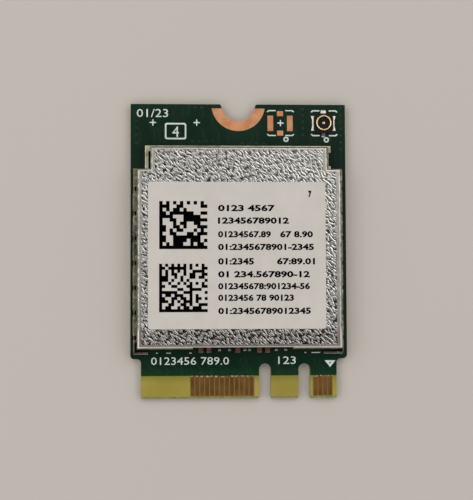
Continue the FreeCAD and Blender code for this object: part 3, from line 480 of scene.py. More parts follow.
for name, shades, roughness, values, parts in PLAIN_FINISHES:
    dress(plain_finish(name, shades, roughness, **values), *parts)
print("plain finishes:", len(PLAIN_FINISHES))

# %% [markdown]
# Two finishes change from place to place. The contact fingers are worn brown gold, with a few painted
# highlights as specks where the coating ends. The receptacle's shell is pale gold at its round sleeve, and its
# legs are wetted with tin, so they turn silver away from the sleeve.

# %% Finish the contacts and the receptacle's shell
SHELL_MIDDLE = (8.75, 13.06, 0.0)


def make_contact_finish():
    """Worn gold, brushed along the way the card is pushed in, with painted highlights as specks at the upper ends.
    """
    material, tree, surface = new_finish("worn_contact_plating")
    place = object_place(tree)
    worn = drifting(tree, 900.0, ((104, 72, 34), (122, 88, 46)), 0.3)
    end = ramp_mm(axis(place, "Y"), CONTACT_TOP - 0.16, CONTACT_TOP - 0.06)
    # Painted highlights: pale specks along the upper ends of the fingers.
    bright = end * ramp(noise(place, 3600.0, 0.0), 0.48, 0.6)
    fill(tree, surface, {
        "Base Color": blend(bright, worn["Colour"], paint(196, 180, 146)),
        "Roughness": 0.38 + worn["Mask"] * 0.08,
        "Normal": fine_normal(tree, (22000.0, 900.0, 900.0), 0.004, 0.5),
        "Metallic": 0.85})
    return material


def make_wetted_gilding(name, reach, tin_shades):
    """Pale gold near the middle of the receptacle, and tin beyond a distance from there in millimetres."""
    material, tree, surface = new_finish(name)
    flat = vector_maths("MULTIPLY", object_place(tree), (1.0, 1.0, 0.0))
    away = vector_maths("DISTANCE", flat, [value * MM for value in SHELL_MIDDLE], "Value")
    wetted = ramp_mm(away, reach, reach + 0.08)
    gold = drifting(tree, 1500.0, ((216, 190, 134), (240, 220, 172)), 0.22)
    tin = drifting(tree, 2600.0, tin_shades, 0.22)
    fill(tree, surface, {
        "Base Color": blend(wetted, gold["Colour"], tin["Colour"]),
        "Roughness": 0.16 + wetted * 0.24,
        "Normal": fine_normal(tree, (4200.0,) * 3, 0.02, 0.4),
        "Metallic": 1 - wetted * 0.85})
    return material


dress(make_contact_finish(), "edge_contacts_top", "edge_contacts_bottom")
dress(make_wetted_gilding("shell_plating", 0.86, ((226, 212, 194), (250, 249, 246))), "receptacle_shell")
# The pin's foot gets a dark tin with pale patches: a painted dark reflection on its solder.
dress(make_wetted_gilding("pin_plating", 0.3, ((52, 46, 44), (150, 146, 142))), "receptacle_pin")
print("materials so far:", len(bpy.data.materials))

# %% [markdown]
# Nothing on a real card has a razor edge: plating, solder and moulding all round it off a little. The solids
# come in with sharp edges, so the ones that show get a narrow bevel, which catches the light as a real edge
# does. Their points are welded first, because a bevel needs faces that share their corners.

# %% Soften the edges that show
WELD_REACH = 0.0001
EDGE_ANGLE = 40


def soften(width, *names):
    """Round the sharp edges of parts by a width in millimetres."""
    for name in names:
        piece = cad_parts[name]
        weld = piece.modifiers.new("weld", "WELD")
        weld.merge_threshold = WELD_REACH * MM
        bevel = piece.modifiers.new("soft_edges", "BEVEL")
        bevel.width = width * MM
        bevel.segments = 3
        bevel.limit_method = "ANGLE"
        bevel.angle_limit = math.radians(EDGE_ANGLE)
        bevel.use_clamp_overlap = True


soften(0.035, "receptacle_shell", "receptacle_pin", "receptacle_solder", "shield_solder")
soften(0.02, "window_capacitors", "window_capacitor_ends", "window_resistors", "window_resistor_ends",
       "receptacle_housing", "shield_frame")
print("softened:", sum(1 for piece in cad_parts.values() if piece.modifiers))

# %% [markdown]
# The board is one solid, but it shows two stuffs: the dark green coating on its two faces, and the bare
# yellow-green laminate on the contact tongue and on every routed edge. The material tells them apart by
# where a point lies and which way it faces. Under the coating run thin copper tracks, which show as faint
# raised lines of a lighter green. They are far too shallow for the solid, so a shader group draws them: evenly
# spaced lanes that come and go, with slanted jogs at a few places.

# %% Group: buried tracks
TRACK_PITCH = 0.5
TRACK_SHARE = 0.34
TRACK_JOG = 0.6
TRACK_JOG_PLACES = (-12.1, -4.0, 5.0, 12.2)
TRACK_CHANGES = 190.0


def make_buried_tracks():
    """Where copper tracks run under the coating: lines along Y that come and go, with slanted jogs."""
    tree, given, result = node_group(
        "ShaderNodeTree", "buried_tracks", [("Width share", "Float", 0.3)], [("Mask", "Float")])
    place = object_place(tree)
    x, y = axis(place, "X"), axis(place, "Y")
    for jog in TRACK_JOG_PLACES:
        x = x + maths("DIVIDE", y - jog * MM, TRACK_JOG * MM, clamp=True) * (TRACK_JOG * MM)
    lanes = x / (TRACK_PITCH * MM)
    lane = maths("FLOOR", lanes)
    half = given["Width share"] * 0.5
    line = 1 - ramp(maths("ABSOLUTE", lanes - lane - 0.5), half, half + 0.06)
    present = noise(vector_of(tree, lane, y * TRACK_CHANGES), 1.0, 0.0) > 0.54
    fill(tree, result, {"Mask": line * present})
    return tree


BURIED_TRACKS = make_buried_tracks()

# %% Finish the board
COATING_SHADES = ((3, 29, 17), (6, 37, 24))
COATING_THIN = paint(10, 50, 20)
COATING_OVER_COPPER = paint(12, 48, 32)
LAMINATE_SHADES = ((134, 121, 48), (156, 141, 64))
LAMINATE_NEAR_COATING = paint(100, 104, 38)
LAMINATE_AT_CONTACTS = paint(114, 84, 44)
CONTACT_RUNS = ((-4.9, 1.55), (7.5, 9.5))
CONTACT_HALO = 0.1
EDGE_SHADES = ((112, 112, 66), (150, 148, 96))
BARE_ROUGHNESS, COATED_ROUGHNESS = 0.55, 0.24


def make_board_finish():
    """Green coating on the faces, bare laminate on the tongue and on the cut edges."""
    material, tree, surface = new_finish("coated_board")
    place = object_place(tree)
    x, y = axis(place, "X"), axis(place, "Y")
    face = maths("ABSOLUTE", axis(add_node(tree, "ShaderNodeNewGeometry", "True Normal"), "Z")) > 0.9
    coated = face * (y > (COATING_EDGE - 0.001) * MM)
    coating = drifting(tree, 130.0, COATING_SHADES, 0.25)
    thin = 1 - ramp_mm(y, COATING_EDGE, COATING_EDGE + 1.1)
    tracks = place_group(tree, BURIED_TRACKS, {"Width share": TRACK_SHARE})["Mask"]
    green = blend(thin * 0.8, coating["Colour"], COATING_THIN)
    green = blend(tracks * 0.24, green, COATING_OVER_COPPER)
    laminate = drifting(tree, 260.0, LAMINATE_SHADES, 0.3)["Colour"]
    laminate = blend(place_group(tree, GLASS_CLOTH, {})["Mask"] * 0.25, laminate, paint(*LAMINATE_SHADES[1]))
    near_coating = ramp_mm(y, COATING_EDGE - 0.9, COATING_EDGE)
    laminate = blend(near_coating * 0.6, laminate, LAMINATE_NEAR_COATING)
    for low, high in CONTACT_RUNS:
        begun = ramp_mm(x, low - CONTACT_HALO, low + CONTACT_HALO)
        inside = begun * (1 - ramp_mm(x, high - CONTACT_HALO, high + CONTACT_HALO))
        laminate = blend(inside * 0.85, laminate, LAMINATE_AT_CONTACTS)
    edge = drifting(tree, 5200.0, EDGE_SHADES, 0.2)["Colour"]
    colour = blend(coated, blend(face, edge, laminate), green)
    raised_tracks = add_node(tree, "ShaderNodeBump", "Normal", {
        "Height": tracks * coated, "Distance": 0.012 * MM, "Strength": 0.6,
        "Normal": fine_normal(tree, (3000.0,) * 3, 0.004, 0.3)})
    rough = BARE_ROUGHNESS + coated * (COATED_ROUGHNESS - BARE_ROUGHNESS)
    fill(tree, surface, {
        "Base Color": blend(dust_mask(tree, 0.006), colour, DUST_COLOUR),
        "Roughness": rough + coating["Mask"] * 0.08,
        "Normal": raised_tracks,
        "Specular IOR Level": 0.16})
    return material


dress(make_board_finish(), "circuit_board")
print("coating ends at Y", round(COATING_EDGE, 2), "mm")

# %% [markdown]
# The shield is tinned sheet metal. The fence is fairly smooth, and the lid carries an embossed grain that looks
# like short worms, mostly leaning down to the right. Stretching a noise along a slanted line gives such
# strokes, and letting that line wander from place to place keeps them from looking ruled. The grain is used
# twice: pressed into the lid's surface further down, and here for its finest shading and for painted shade in its
# hollows.

# %% The strokes of the grain
STROKE_LENGTH, STROKE_WIDTH = 0.43, 0.158
STROKE_SLANT = math.radians(-46)
STROKE_WANDER = 0.3
WANDERS_PER_METRE = 1800.0
STROKE_DEPTH = 0.017
STROKE_FLANK = (0.3, 0.7)
STROKE_PAINTED_SHADE = (0.38, 0.56)
STROKE_SEED = 4.0


def stroke_pattern(place, length, width, slant, wander, seed):
    """A value that drifts quickly across a slanted line and slowly along it, which looks like short worms."""
    tree = place.tree
    drift = vector_maths("SUBTRACT", noise(place, WANDERS_PER_METRE, 0.0, "Color", seed), (0.5, 0.5, 0.5))
    shift = add_node(tree, "ShaderNodeVectorMath", 0, {0: drift, "Scale": wander}, operation="SCALE")
    turned = add_node(tree, "ShaderNodeVectorRotate", 0, {
        "Vector": vector_maths("ADD", place, shift), "Angle": slant * -1}, rotation_type="Z_AXIS")
    return noise(vector_maths("DIVIDE", turned, vector_of(tree, length, width, 1.0)), 1.0, 1.0, seed=seed)


def make_grain_strokes():
    """The same strokes as the ones pressed into the lid, for its fine shading: a mask of painted shade for the
    hollows and a normal.
    """
    tree, given, result = node_group(
        "ShaderNodeTree", "grain_strokes", [("Depth", "Float", 0.00001)], [("Painted shade", "Float"), ("Normal", "Vector")])
    share = add_node(tree, "ShaderNodeAttribute", "Fac", attribute_name="grain")
    strokes = stroke_pattern(object_place(tree), STROKE_LENGTH * MM, STROKE_WIDTH * MM, STROKE_SLANT,
                             STROKE_WANDER * MM, STROKE_SEED)
    normal = add_node(tree, "ShaderNodeBump", "Normal", {
        "Height": ramp(strokes, *STROKE_FLANK) * share, "Distance": given["Depth"], "Strength": 1.0})
    fill(tree, result, {"Painted shade": (1 - ramp(strokes, *STROKE_PAINTED_SHADE)) * share, "Normal": normal})
    return tree


GRAIN_STROKES = make_grain_strokes()
print("strokes", STROKE_LENGTH, "by", STROKE_WIDTH, "mm")

# %% [markdown]
# The fence carries painted shade, with pale specks, along the board's sides and along its front foot. The lid
# carries painted shade over its front strip, a painted highlight on the bend in front of it, and is darker along
# its back edge.

# %% Finish the shield metal
SIDE_STRIP = (10.2, 10.34)
FRONT_STRIP = (-10.3, -10.1)
FRONT_PAINTED_LIGHT = (-8.4, -7.6)
DARKER_BACK = (9.2, 9.7)


def make_fence_finish():
    """Tinned sheet, a little yellowed, with blotchy painted shade and pale specks along the board's sides and its
    front foot.
    """
    material, tree, surface = new_finish("fence_metal")
    place = object_place(tree)
    tin = drifting(tree, 1400.0, ((150, 147, 124), (196, 192, 170)), 0.25)
    # Painted shade: the fence is darkened along the board's sides and along its front foot, in blotches with pale
    # specks.
    side = ramp_mm(maths("ABSOLUTE", axis(place, "X")), *SIDE_STRIP)
    front = 1 - ramp_mm(axis(place, "Y"), *FRONT_STRIP)
    shade_share = maths("MAXIMUM", side * (0.55 + tin["Mask"] * 0.4), front * 0.8)
    painted_shade = drifting(tree, 620.0, ((26, 30, 22), (92, 84, 66)), 0.12)["Colour"]
    spots = ramp(place_group(tree, UNEVEN_COLOUR, {"Spots per metre": 2300.0})["Mask"], 0.7, 1.0)
    shaded_strip = blend(spots * 0.55, painted_shade, paint(196, 192, 172))
    fill(tree, surface, {
        "Base Color": blend(shade_share, tin["Colour"], shaded_strip),
        "Roughness": 0.26 + tin["Mask"] * 0.1,
        "Normal": fine_normal(tree, (5200.0,) * 3, 0.01, 0.5),
        "Metallic": 1.0})
    return material


def make_lid_finish():
    """Tinned sheet, bright on the ridges of the grain, with painted shade in its hollows and over its front strip, a
    painted highlight on the bend in front of that strip, and darker along its back edge.
    """
    material, tree, surface = new_finish("lid_metal")
    y = axis(object_place(tree), "Y")
    border = add_node(tree, "ShaderNodeAttribute", "Fac", attribute_name="border")
    at_front, at_back = 1 - ramp_mm(y, *FRONT_PAINTED_LIGHT), ramp_mm(y, *DARKER_BACK)
    tin = drifting(tree, 900.0, ((216, 215, 209), (234, 233, 228)), 0.25)
    strokes = place_group(tree, GRAIN_STROKES, {"Depth": STROKE_DEPTH / 2 * MM})
    # Painted shade: the ridges of the grain are darker over the front strip.
    ridges = blend(at_front, tin["Colour"], paint(198, 193, 188))
    # Painted shade: the hollows of the grain are darkened, and more so over the front strip.
    top = blend(strokes["Painted shade"] * (0.9 + at_front * 0.45), ridges, paint(54, 51, 50))
    rim = drifting(tree, 2600.0, ((128, 122, 104), (194, 188, 172)), 0.2)["Colour"]
    # The border is darker along the back edge, and a painted highlight brightens the bend in front of the front
    # strip.
    rim = blend(at_back * 0.6, rim, paint(98, 98, 80))
    rim = blend(at_front * 0.7, rim, paint(222, 216, 202))
    fill(tree, surface, {
        "Base Color": blend(border, top, rim),
        "Roughness": 0.17 + tin["Mask"] * 0.06 + border * 0.18,
        "Normal": strokes["Normal"],
        "Metallic": 1.0})
    return material


LID_METAL = make_lid_finish()
dress(make_fence_finish(), "shield_frame")
print("materials so far:", len(bpy.data.materials))

# %% [markdown]
# Geometry Nodes will run several times below. This helper runs a tree on a mesh and keeps the outcome as a
# plain mesh, so that nothing is left to work out later. The inputs are set by the sockets' identifiers
# before the object is looked at for the first time.

# %% Helpers for Geometry Nodes
def geometry_tree(name, inputs):
    """An empty Geometry Nodes tree with named inputs; gives the tree, its inputs and its output node."""
    geometry = ("Geometry", "Geometry")
    return node_group("GeometryNodeTree", name, [geometry] + inputs + [("Material", "Material")], [geometry])


def finish_tree(tree, geometry, given, result):
    """Close a tree: make copies real, give them the material and put them out."""
    real = add_node(tree, "GeometryNodeRealizeInstances", 0, {"Geometry": geometry})
    dressed = add_node(tree, "GeometryNodeSetMaterial", 0, {"Geometry": real, "Material": given["Material"]})
    fill(tree, result, {"Geometry": dressed})
    return tree


def grow(name, mesh, tree, values):
    """Run a tree on a mesh, and keep what it makes as a plain mesh object at the origin."""
    source = bpy.data.objects.new("seed", mesh)
    modifier = source.modifiers.new("grow", "NODES")
    modifier.node_group = tree
    for item in tree.interface.items_tree:
        if item.in_out == "INPUT" and item.name in values:
            modifier[item.identifier] = values[item.name]
    return stand(name, mesh_of(source))


def mesh_of(source):
    """What an object looks like with its modifiers run, as a plain mesh; the object itself goes."""
    bpy.context.scene.collection.objects.link(source)
    mesh = bpy.data.meshes.new_from_object(source.evaluated_get(bpy.context.evaluated_depsgraph_get()))
    bpy.data.objects.remove(source)
    return mesh


def stand(name, mesh):
    """A mesh that is already in place becomes an object at the origin."""
    mesh.name = name
    piece = bpy.data.objects.new(name, mesh)
    bpy.context.scene.collection.objects.link(piece)
    print(name, len(mesh.polygons), "faces")
    return piece


# %% [markdown]
# The lid is a shallow tray of folded sheet. Seen from above it is a wide rectangle with a narrower neck, its
# border bends down all round, and in front it has two sloping skirts with a window between them. The embossed
# grain is far too fine for the solid, so the whole lid is modelled again here. A grid covers the flat top,
# dense enough for the grain, and one profile is carried round its edge for the bend, the wall and the inside.

# %% Lid: its lines
SHEET = 0.13
LID_BEND = 0.25
LID_NECK_INSET = (1.32, 1.34)
LID_STEP_BACK = 2.25
SKIRT_FLARE = 0.1
SKIRT_SETBACK = 0.12
WINDOW_LEFT, WINDOW_RIGHT = -4.665, 5.365
WINDOW_CUT = 0.14
GRID_PITCH = 0.048
SHARP_STEP = 0.012

LEFT, RIGHT = LID_LOW.x, LID_HIGH.x
FRONT, BACK = LID_LOW.y + SKIRT_FLARE, LID_HIGH.y
STEP = BACK - LID_STEP_BACK
NECK_LEFT, NECK_RIGHT = LEFT + LID_NECK_INSET[0], RIGHT - LID_NECK_INSET[1]
LID_TOP = LID_HIGH.z


def lid_corners(inset):
    """The lid's outline drawn in by a distance, starting at the front left and going anticlockwise."""
    left, right, front, back = LEFT + inset, RIGHT - inset, FRONT + inset, BACK - inset
    neck_left, neck_right, step = NECK_LEFT + inset, NECK_RIGHT - inset, STEP - inset
    return [Vector(corner) for corner in (
        (left, front), (right, front), (right, step), (neck_right, step),
        (neck_right, back), (neck_left, back), (neck_left, step), (left, step))]


def grid_lines(stops):
    """Evenly spaced lines that meet every stop."""
    stops = sorted(set(stops))
    lines = [stops[0]]
    for start, end in zip(stops, stops[1:]):
        count = max(1, math.ceil((end - start) / GRID_PITCH))
        lines += [start + (end - start) * step / count for step in range(1, count)] + [end]
    return lines


print("lid", round(RIGHT - LEFT, 2), "by", round(BACK - FRONT, 2), "mm")

# %% Lid: the profile of its border
OUTER_STEPS = 6
SKIRT_STEPS = 3
INNER_STEPS = 3


def bend_points(radius, steps):
    """A quarter round of the border's bend, from the flat top down to the wall."""
    turns = [math.pi / 2 * k / steps for k in range(steps + 1)]
    return [(LID_BEND - radius * math.sin(turn), LID_TOP - LID_BEND + radius * math.cos(turn)) for turn in turns]


def lid_profile(x, on_front):
    """How far in and how high each point of the border lies, from the flat top's edge down and back inside."""
    bend_end = LID_TOP - LID_BEND
    window = on_front and WINDOW_LEFT < x < WINDOW_RIGHT
    skirt = on_front and not window and LEFT + SKIRT_SETBACK <= x <= RIGHT - SKIRT_SETBACK
    flare, foot = (SKIRT_FLARE, LID_LOW.z) if skirt else (0.0, FENCE_TOP)
    wall = [(-flare * k / SKIRT_STEPS, bend_end + (foot - bend_end) * k / SKIRT_STEPS)
            for k in range(1, SKIRT_STEPS + 1)]
    points = bend_points(LID_BEND, OUTER_STEPS)[1:] + wall
    points += [(inset + SHEET, z) for inset, z in reversed(wall)]
    points += reversed(bend_points(LID_BEND - SHEET, INNER_STEPS))
    if window:
        reach = LID_BEND - WINDOW_CUT
        lowest, highest = (bend_end + math.sqrt(max(radius ** 2 - reach ** 2, 0)) for radius in
                           (LID_BEND - SHEET, LID_BEND))
        points = [(inset, z) if inset >= WINDOW_CUT else (WINDOW_CUT, min(max(z, lowest), highest))
                  for inset, z in points]
    return points


print("points round the border's section:", len(lid_profile(0, False)))

# %% [markdown]
# Each point of the lid carries a number that says how strong the grain is there. The grain dies out towards
# the bends and under the label, and it is pressed deeper towards the front and the left.

# %% Lid: where the grain lies
GRAIN_FADE = 0.12
GRAIN_UNDER_LABEL = 0.3
GRAIN_LABEL_FADE = 0.15
GRAIN_PRESSED = 1.25
GRAIN_LESS_TO_BACK = 0.03
GRAIN_LESS_TO_RIGHT = 0.017
PLAIN_MARGIN = {"left": 0.14, "right": 0.26, "front": 0.08, "back": 0.06}


def in_flat_top(x, y):
    """Whether a point of the lid lies on its flat top, clear of the bends."""
    wide = LEFT + LID_BEND < x < RIGHT - LID_BEND and FRONT + LID_BEND < y < STEP - LID_BEND
    neck = NECK_LEFT + LID_BEND < x < NECK_RIGHT - LID_BEND and STEP - LID_BEND < y < BACK - LID_BEND
    return wide or neck


def grain_share(x, y):
    """How strong the grain is at a point: none at the bends and under the middle of the label."""
    beside_neck = not NECK_LEFT + LID_BEND < x < NECK_RIGHT - LID_BEND
    left, right = (NECK_LEFT, NECK_RIGHT) if y > STEP - LID_BEND else (LEFT, RIGHT)
    to_bend = min(x - left - PLAIN_MARGIN["left"], right - x - PLAIN_MARGIN["right"],
                  y - FRONT - PLAIN_MARGIN["front"],
                  (STEP if beside_neck else BACK) - y - PLAIN_MARGIN["back"]) - LID_BEND
    under_label = min(x - LABEL_LOW.x, LABEL_HIGH.x - x, y - LABEL_LOW.y, LABEL_HIGH.y - y)
    open_share = min(max((GRAIN_UNDER_LABEL - under_label) / GRAIN_LABEL_FADE, 0), 1)
    share = min(max(to_bend / GRAIN_FADE, 0), 1) * open_share
    pressed = GRAIN_PRESSED - GRAIN_LESS_TO_BACK * y - GRAIN_LESS_TO_RIGHT * x
    return share * share * (3 - 2 * share) * pressed


print("grain at the front left", round(grain_share(LEFT + 1, FRONT + 1), 2),
      "and at the back right", round(grain_share(NECK_RIGHT - 1, BACK - 1), 2))

# %% Lid: the grid and its border
LABEL_COVER = 0.45
BELOW_TOP = 0.001
SAME_PLACE = 0.00001


def carry_border(mesh, xs, ys, flat, point):
    """Carry the border's profile round the edge of the flat top, and close the inside with a ceiling."""
    count = len(flat)
    strips = []
    for side in range(count):
        start, end = flat[side], flat[(side + 1) % count]
        i, j = xs.index(start.x), ys.index(start.y)
        last_i, last_j = xs.index(end.x), ys.index(end.y)
        step_i, step_j = (last_i > i) - (last_i < i), (last_j > j) - (last_j < j)
        outwards = Vector(((end - start).y, -(end - start).x)).normalized()
        concave = side in (2, 3, 5, 6)
        while (i, j) != (last_i, last_j):
            here = Vector((xs[i], ys[j]))
            along = (here - start).length / (end - start).length
            strip = [point(i, j)]
            for inset, z in lid_profile(here.x, side == 0):
                corners = lid_corners(inset)
                if along == 0 or concave:
                    spot = corners[side].lerp(corners[(side + 1) % count], along)
                else:
                    spot = here + outwards * (LID_BEND - inset)
                strip.append(mesh.verts.new((spot.x * MM, spot.y * MM, z * MM)))
            strips.append(strip)
            i, j = i + step_i, j + step_j
    for strip, following in zip(strips, strips[1:] + strips[:1]):
        for k in range(len(strip) - 1):
            mesh.faces.new([strip[k], strip[k + 1], following[k + 1], following[k]])
    mesh.faces.new([strip[-1] for strip in reversed(strips)])


def clean_mesh(mesh, made):
    """Join points that share a place, turn all faces outwards, and keep the outcome in a mesh."""
    bmesh.ops.remove_doubles(mesh, verts=mesh.verts, dist=SAME_PLACE * MM)
    bmesh.ops.recalc_face_normals(mesh, faces=mesh.faces)
    mesh.to_mesh(made)
    mesh.free()
    return made


def build_lid():
    """The lid as one closed mesh, with the strength of the grain stored on its points."""
    flat = lid_corners(LID_BEND)
    hole_x = (LABEL_LOW.x + LABEL_COVER, LABEL_HIGH.x - LABEL_COVER)
    hole_y = (LABEL_LOW.y + LABEL_COVER, LABEL_HIGH.y - LABEL_COVER)
    window_stops = (WINDOW_LEFT, WINDOW_LEFT + SHARP_STEP, WINDOW_RIGHT - SHARP_STEP, WINDOW_RIGHT)
    xs = grid_lines([*(corner.x for corner in flat), *hole_x, *window_stops])
    ys = grid_lines([*(corner.y for corner in flat), *hole_y])
    mesh = bmesh.new()
    grain = mesh.verts.layers.float.new("grain")
    border = mesh.verts.layers.float.new("border")
    points = {}

    def point(i, j):
        if (i, j) not in points:
            points[i, j] = mesh.verts.new((xs[i] * MM, ys[j] * MM, LID_TOP * MM))
            points[i, j][grain] = grain_share(xs[i], ys[j])
        return points[i, j]

    for i in range(len(xs) - 1):
        for j in range(len(ys) - 1):
            x, y = (xs[i] + xs[i + 1]) / 2, (ys[j] + ys[j + 1]) / 2
            covered = hole_x[0] < x < hole_x[1] and hole_y[0] < y < hole_y[1]
            if in_flat_top(x, y) and not covered:
                mesh.faces.new([point(i, j), point(i + 1, j), point(i + 1, j + 1), point(i, j + 1)])
    (i_low, i_high), (j_low, j_high) = [xs.index(x) for x in hole_x], [ys.index(y) for y in hole_y]
    rim = [point(i, j_low) for i in range(i_low, i_high)] + [point(i_high, j) for j in range(j_low, j_high)]
    rim += [point(i, j_high) for i in range(i_high, i_low, -1)] + [point(i_low, j) for j in range(j_high, j_low, -1)]
    mesh.faces.new(rim)
    carry_border(mesh, xs, ys, flat, point)
    for spot in mesh.verts:
        spot[border] = 1.0 if spot.co.z < (LID_TOP - BELOW_TOP) * MM else 0.0
    return clean_mesh(mesh, bpy.data.meshes.new("lid_blank"))


lid_blank = build_lid()
print("lid blank:", len(lid_blank.polygons), "faces")

# %% [markdown]
# A Geometry Nodes tree now presses the strokes into the flat top, so that the light really catches their
# flanks. How deep they go follows the number that each point of the blank carries.

# %% Lid: press the grain
SHARP_ANGLE = 50


def make_emboss_tree():
    """Press slanted strokes into a surface, as deep as the number stored on each point allows."""
    names = ("Stroke length", "Stroke width", "Slant", "Wander", "Seed")
    tree, given, result = geometry_tree("emboss", [(name, "Float") for name in names] + [("Depth", "Float")])
    strokes = stroke_pattern(add_node(tree, "GeometryNodeInputPosition", 0), *(given[name] for name in names))
    share = add_node(tree, "GeometryNodeInputNamedAttribute", 0, {"Name": "grain"}, data_type="FLOAT")
    hollow = (1 - ramp(strokes, *STROKE_FLANK)) * share
    down = vector_of(tree, z=hollow * given["Depth"] * -1.0)
    pressed = add_node(tree, "GeometryNodeSetPosition", 0, {"Geometry": given["Geometry"], "Offset": down})
    return finish_tree(tree, pressed, given, result)


lid = grow("grained_lid", lid_blank, make_emboss_tree(), {
    "Stroke length": STROKE_LENGTH * MM, "Stroke width": STROKE_WIDTH * MM, "Slant": STROKE_SLANT,
    "Wander": STROKE_WANDER * MM, "Depth": STROKE_DEPTH * MM, "Seed": STROKE_SEED, "Material": LID_METAL})
lid.data.shade_smooth()
lid.data.set_sharp_from_angle(angle=math.radians(SHARP_ANGLE))
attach(lid, "root")
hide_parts("shield_lid")

# %% [markdown]
# The label is a thin sheet of satin paper with rounded corners. Its own solid is a plain plate, so it is
# modelled again a hair thinner, with a soft upper edge, which leaves room for the ink on top of it.

# %% Label: the paper
INK_THICKNESS = 0.006
PAPER_TOP = LABEL_HIGH.z - INK_THICKNESS
CORNER_RADIUS = 0.25
CORNER_STEPS = 8
SOFT_EDGE = 0.015


def rounded_outline(left, right, low, high, radius, steps):
    """Points of a rectangle with round corners, going anticlockwise."""
    centres = ((right - radius, low + radius, -90), (right - radius, high - radius, 0),
               (left + radius, high - radius, 90), (left + radius, low + radius, 180))
    outline = []
    for x, y, start in centres:
        for step in range(steps + 1):
            angle = math.radians(start + 90 * step / steps)
            outline.append((x + radius * math.cos(angle), y + radius * math.sin(angle)))
    return outline


def build_label():
    """The sheet as a closed plate, through its outline at several levels that draw in towards the top."""
    levels = ((0.0, LABEL_LOW.z), (0.0, PAPER_TOP - SOFT_EDGE), (SOFT_EDGE * 0.3, PAPER_TOP - SOFT_EDGE * 0.3),
              (SOFT_EDGE, PAPER_TOP))
    mesh = bmesh.new()
    rings = [[mesh.verts.new((x * MM, y * MM, z * MM)) for x, y in
              rounded_outline(LABEL_LOW.x + inset, LABEL_HIGH.x - inset, LABEL_LOW.y + inset,
                              LABEL_HIGH.y - inset, CORNER_RADIUS - inset, CORNER_STEPS)] for inset, z in levels]
    for lower, upper in zip(rings, rings[1:]):
        for k in range(len(lower)):
            mesh.faces.new([lower[k - 1], lower[k], upper[k], upper[k - 1]])
    mesh.faces.new(list(reversed(rings[0])))
    mesh.faces.new(rings[-1])
    return clean_mesh(mesh, bpy.data.meshes.new("label_sheet"))


def make_paper_finish():
    """Satin label paper: warm grey, faintly mottled, with a fine fibre relief."""
    material, tree, surface = new_finish("label_paper")
    mottled = drifting(tree, 700.0, ((188, 182, 175), (193, 188, 182)), 0.3)
    fill(tree, surface, {
        "Base Color": blend(dust_mask(tree, 0.08), mottled["Colour"], paint(170, 162, 152)),
        "Roughness": 0.5 + mottled["Mask"] * 0.1,
        "Normal": fine_normal(tree, (14000.0, 5000.0, 5000.0), 0.003, 0.3)})
    return material


label = stand("label_sheet", build_label())
label.data.materials.append(make_paper_finish())
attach(label, "root")
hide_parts("identity_label")

# %% [markdown]
# The real label carries two square machine codes and some lines of lettering. None of that is copied. Two
# squares of cells drawn by a fixed seed stand in for the codes, and rows of plain counting digits stand in
# for the lettering. Each cell is a tiny plate of ink, so the squares are a job for instances on a grid.

# %% Label: the code cells
BLACK_INK = plain_finish("black_ink", ((2, 2, 3), (5, 5, 5)), 0.5, depth=0.002, dust=0.0, gloss=0.0)
CELL_FILL = 0.998


def make_code_tree():
    """A square of ink cells: two solid sides, two dashed sides, and cells drawn by chance between them."""
    tree, given, result = geometry_tree("code_cells", [
        ("Cells", "Int"), ("Cell size", "Float"), ("Ink height", "Float"), ("Seed", "Int"),
        ("Filled share", "Float"), ("Middle", "Vector")])
    last = given["Cells"] - 1.0
    width = last * given["Cell size"]
    grid = add_node(tree, "GeometryNodeMeshGrid", 0, {
        "Size X": width, "Size Y": width, "Vertices X": given["Cells"], "Vertices Y": given["Cells"]})
    place = add_node(tree, "GeometryNodeInputPosition", 0)
    column, row = (maths("ROUND", axis(place, name) / given["Cell size"] + last / 2.0) for name in "XY")
    chance = add_node(tree, "FunctionNodeRandomValue", 3, {
        "Probability": given["Filled share"], "Seed": given["Seed"]}, data_type="BOOLEAN")
    solid = maths("MAXIMUM", column < 0.5, row < 0.5)
    far_column, far_row = column > last - 0.5, row > last - 0.5
    dashes = maths("MAXIMUM", far_row * (1 - column % 2.0), far_column * (1 - row % 2.0))
    inside = 1 - maths("MAXIMUM", far_row, far_column)
    chosen = maths("MAXIMUM", maths("MAXIMUM", solid, dashes), chance * inside)
    side = given["Cell size"] * CELL_FILL
    plate = add_node(tree, "GeometryNodeMeshCube", 0, {"Size": vector_of(tree, side, side, given["Ink height"])})
    cells = add_node(tree, "GeometryNodeInstanceOnPoints", 0, {
        "Points": grid, "Selection": chosen, "Instance": plate})
    placed = add_node(tree, "GeometryNodeTransform", 0, {"Geometry": cells, "Translation": given["Middle"]})
    return finish_tree(tree, placed, given, result)


CODE_TREE = make_code_tree()
CODES = (
    # name, cells on a side, size of the square, its middle, seed, share of filled cells
    ("upper_code", 14, 4.84, (-5.64, 2.47), 11, 0.5),
    ("lower_code", 16, 4.86, (-5.64, -3.85), 23, 0.48),
)
for name, cells, size, middle, seed, share in CODES:
    code = grow(name, bpy.data.meshes.new("nothing"), CODE_TREE, {
        "Cells": cells, "Cell size": size / cells * MM, "Ink height": INK_THICKNESS * MM, "Seed": seed,
        "Filled share": share, "Material": BLACK_INK,
        "Middle": (middle[0] * MM, middle[1] * MM, (PAPER_TOP + INK_THICKNESS / 2) * MM)})
    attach(code, "root")

# %% [markdown]
# Printed digits are flat letters with a thickness of ink. Each row is set as text, turned into a mesh, and
# then stretched to the place that its row has on the real label, which also gives the print its wide look.

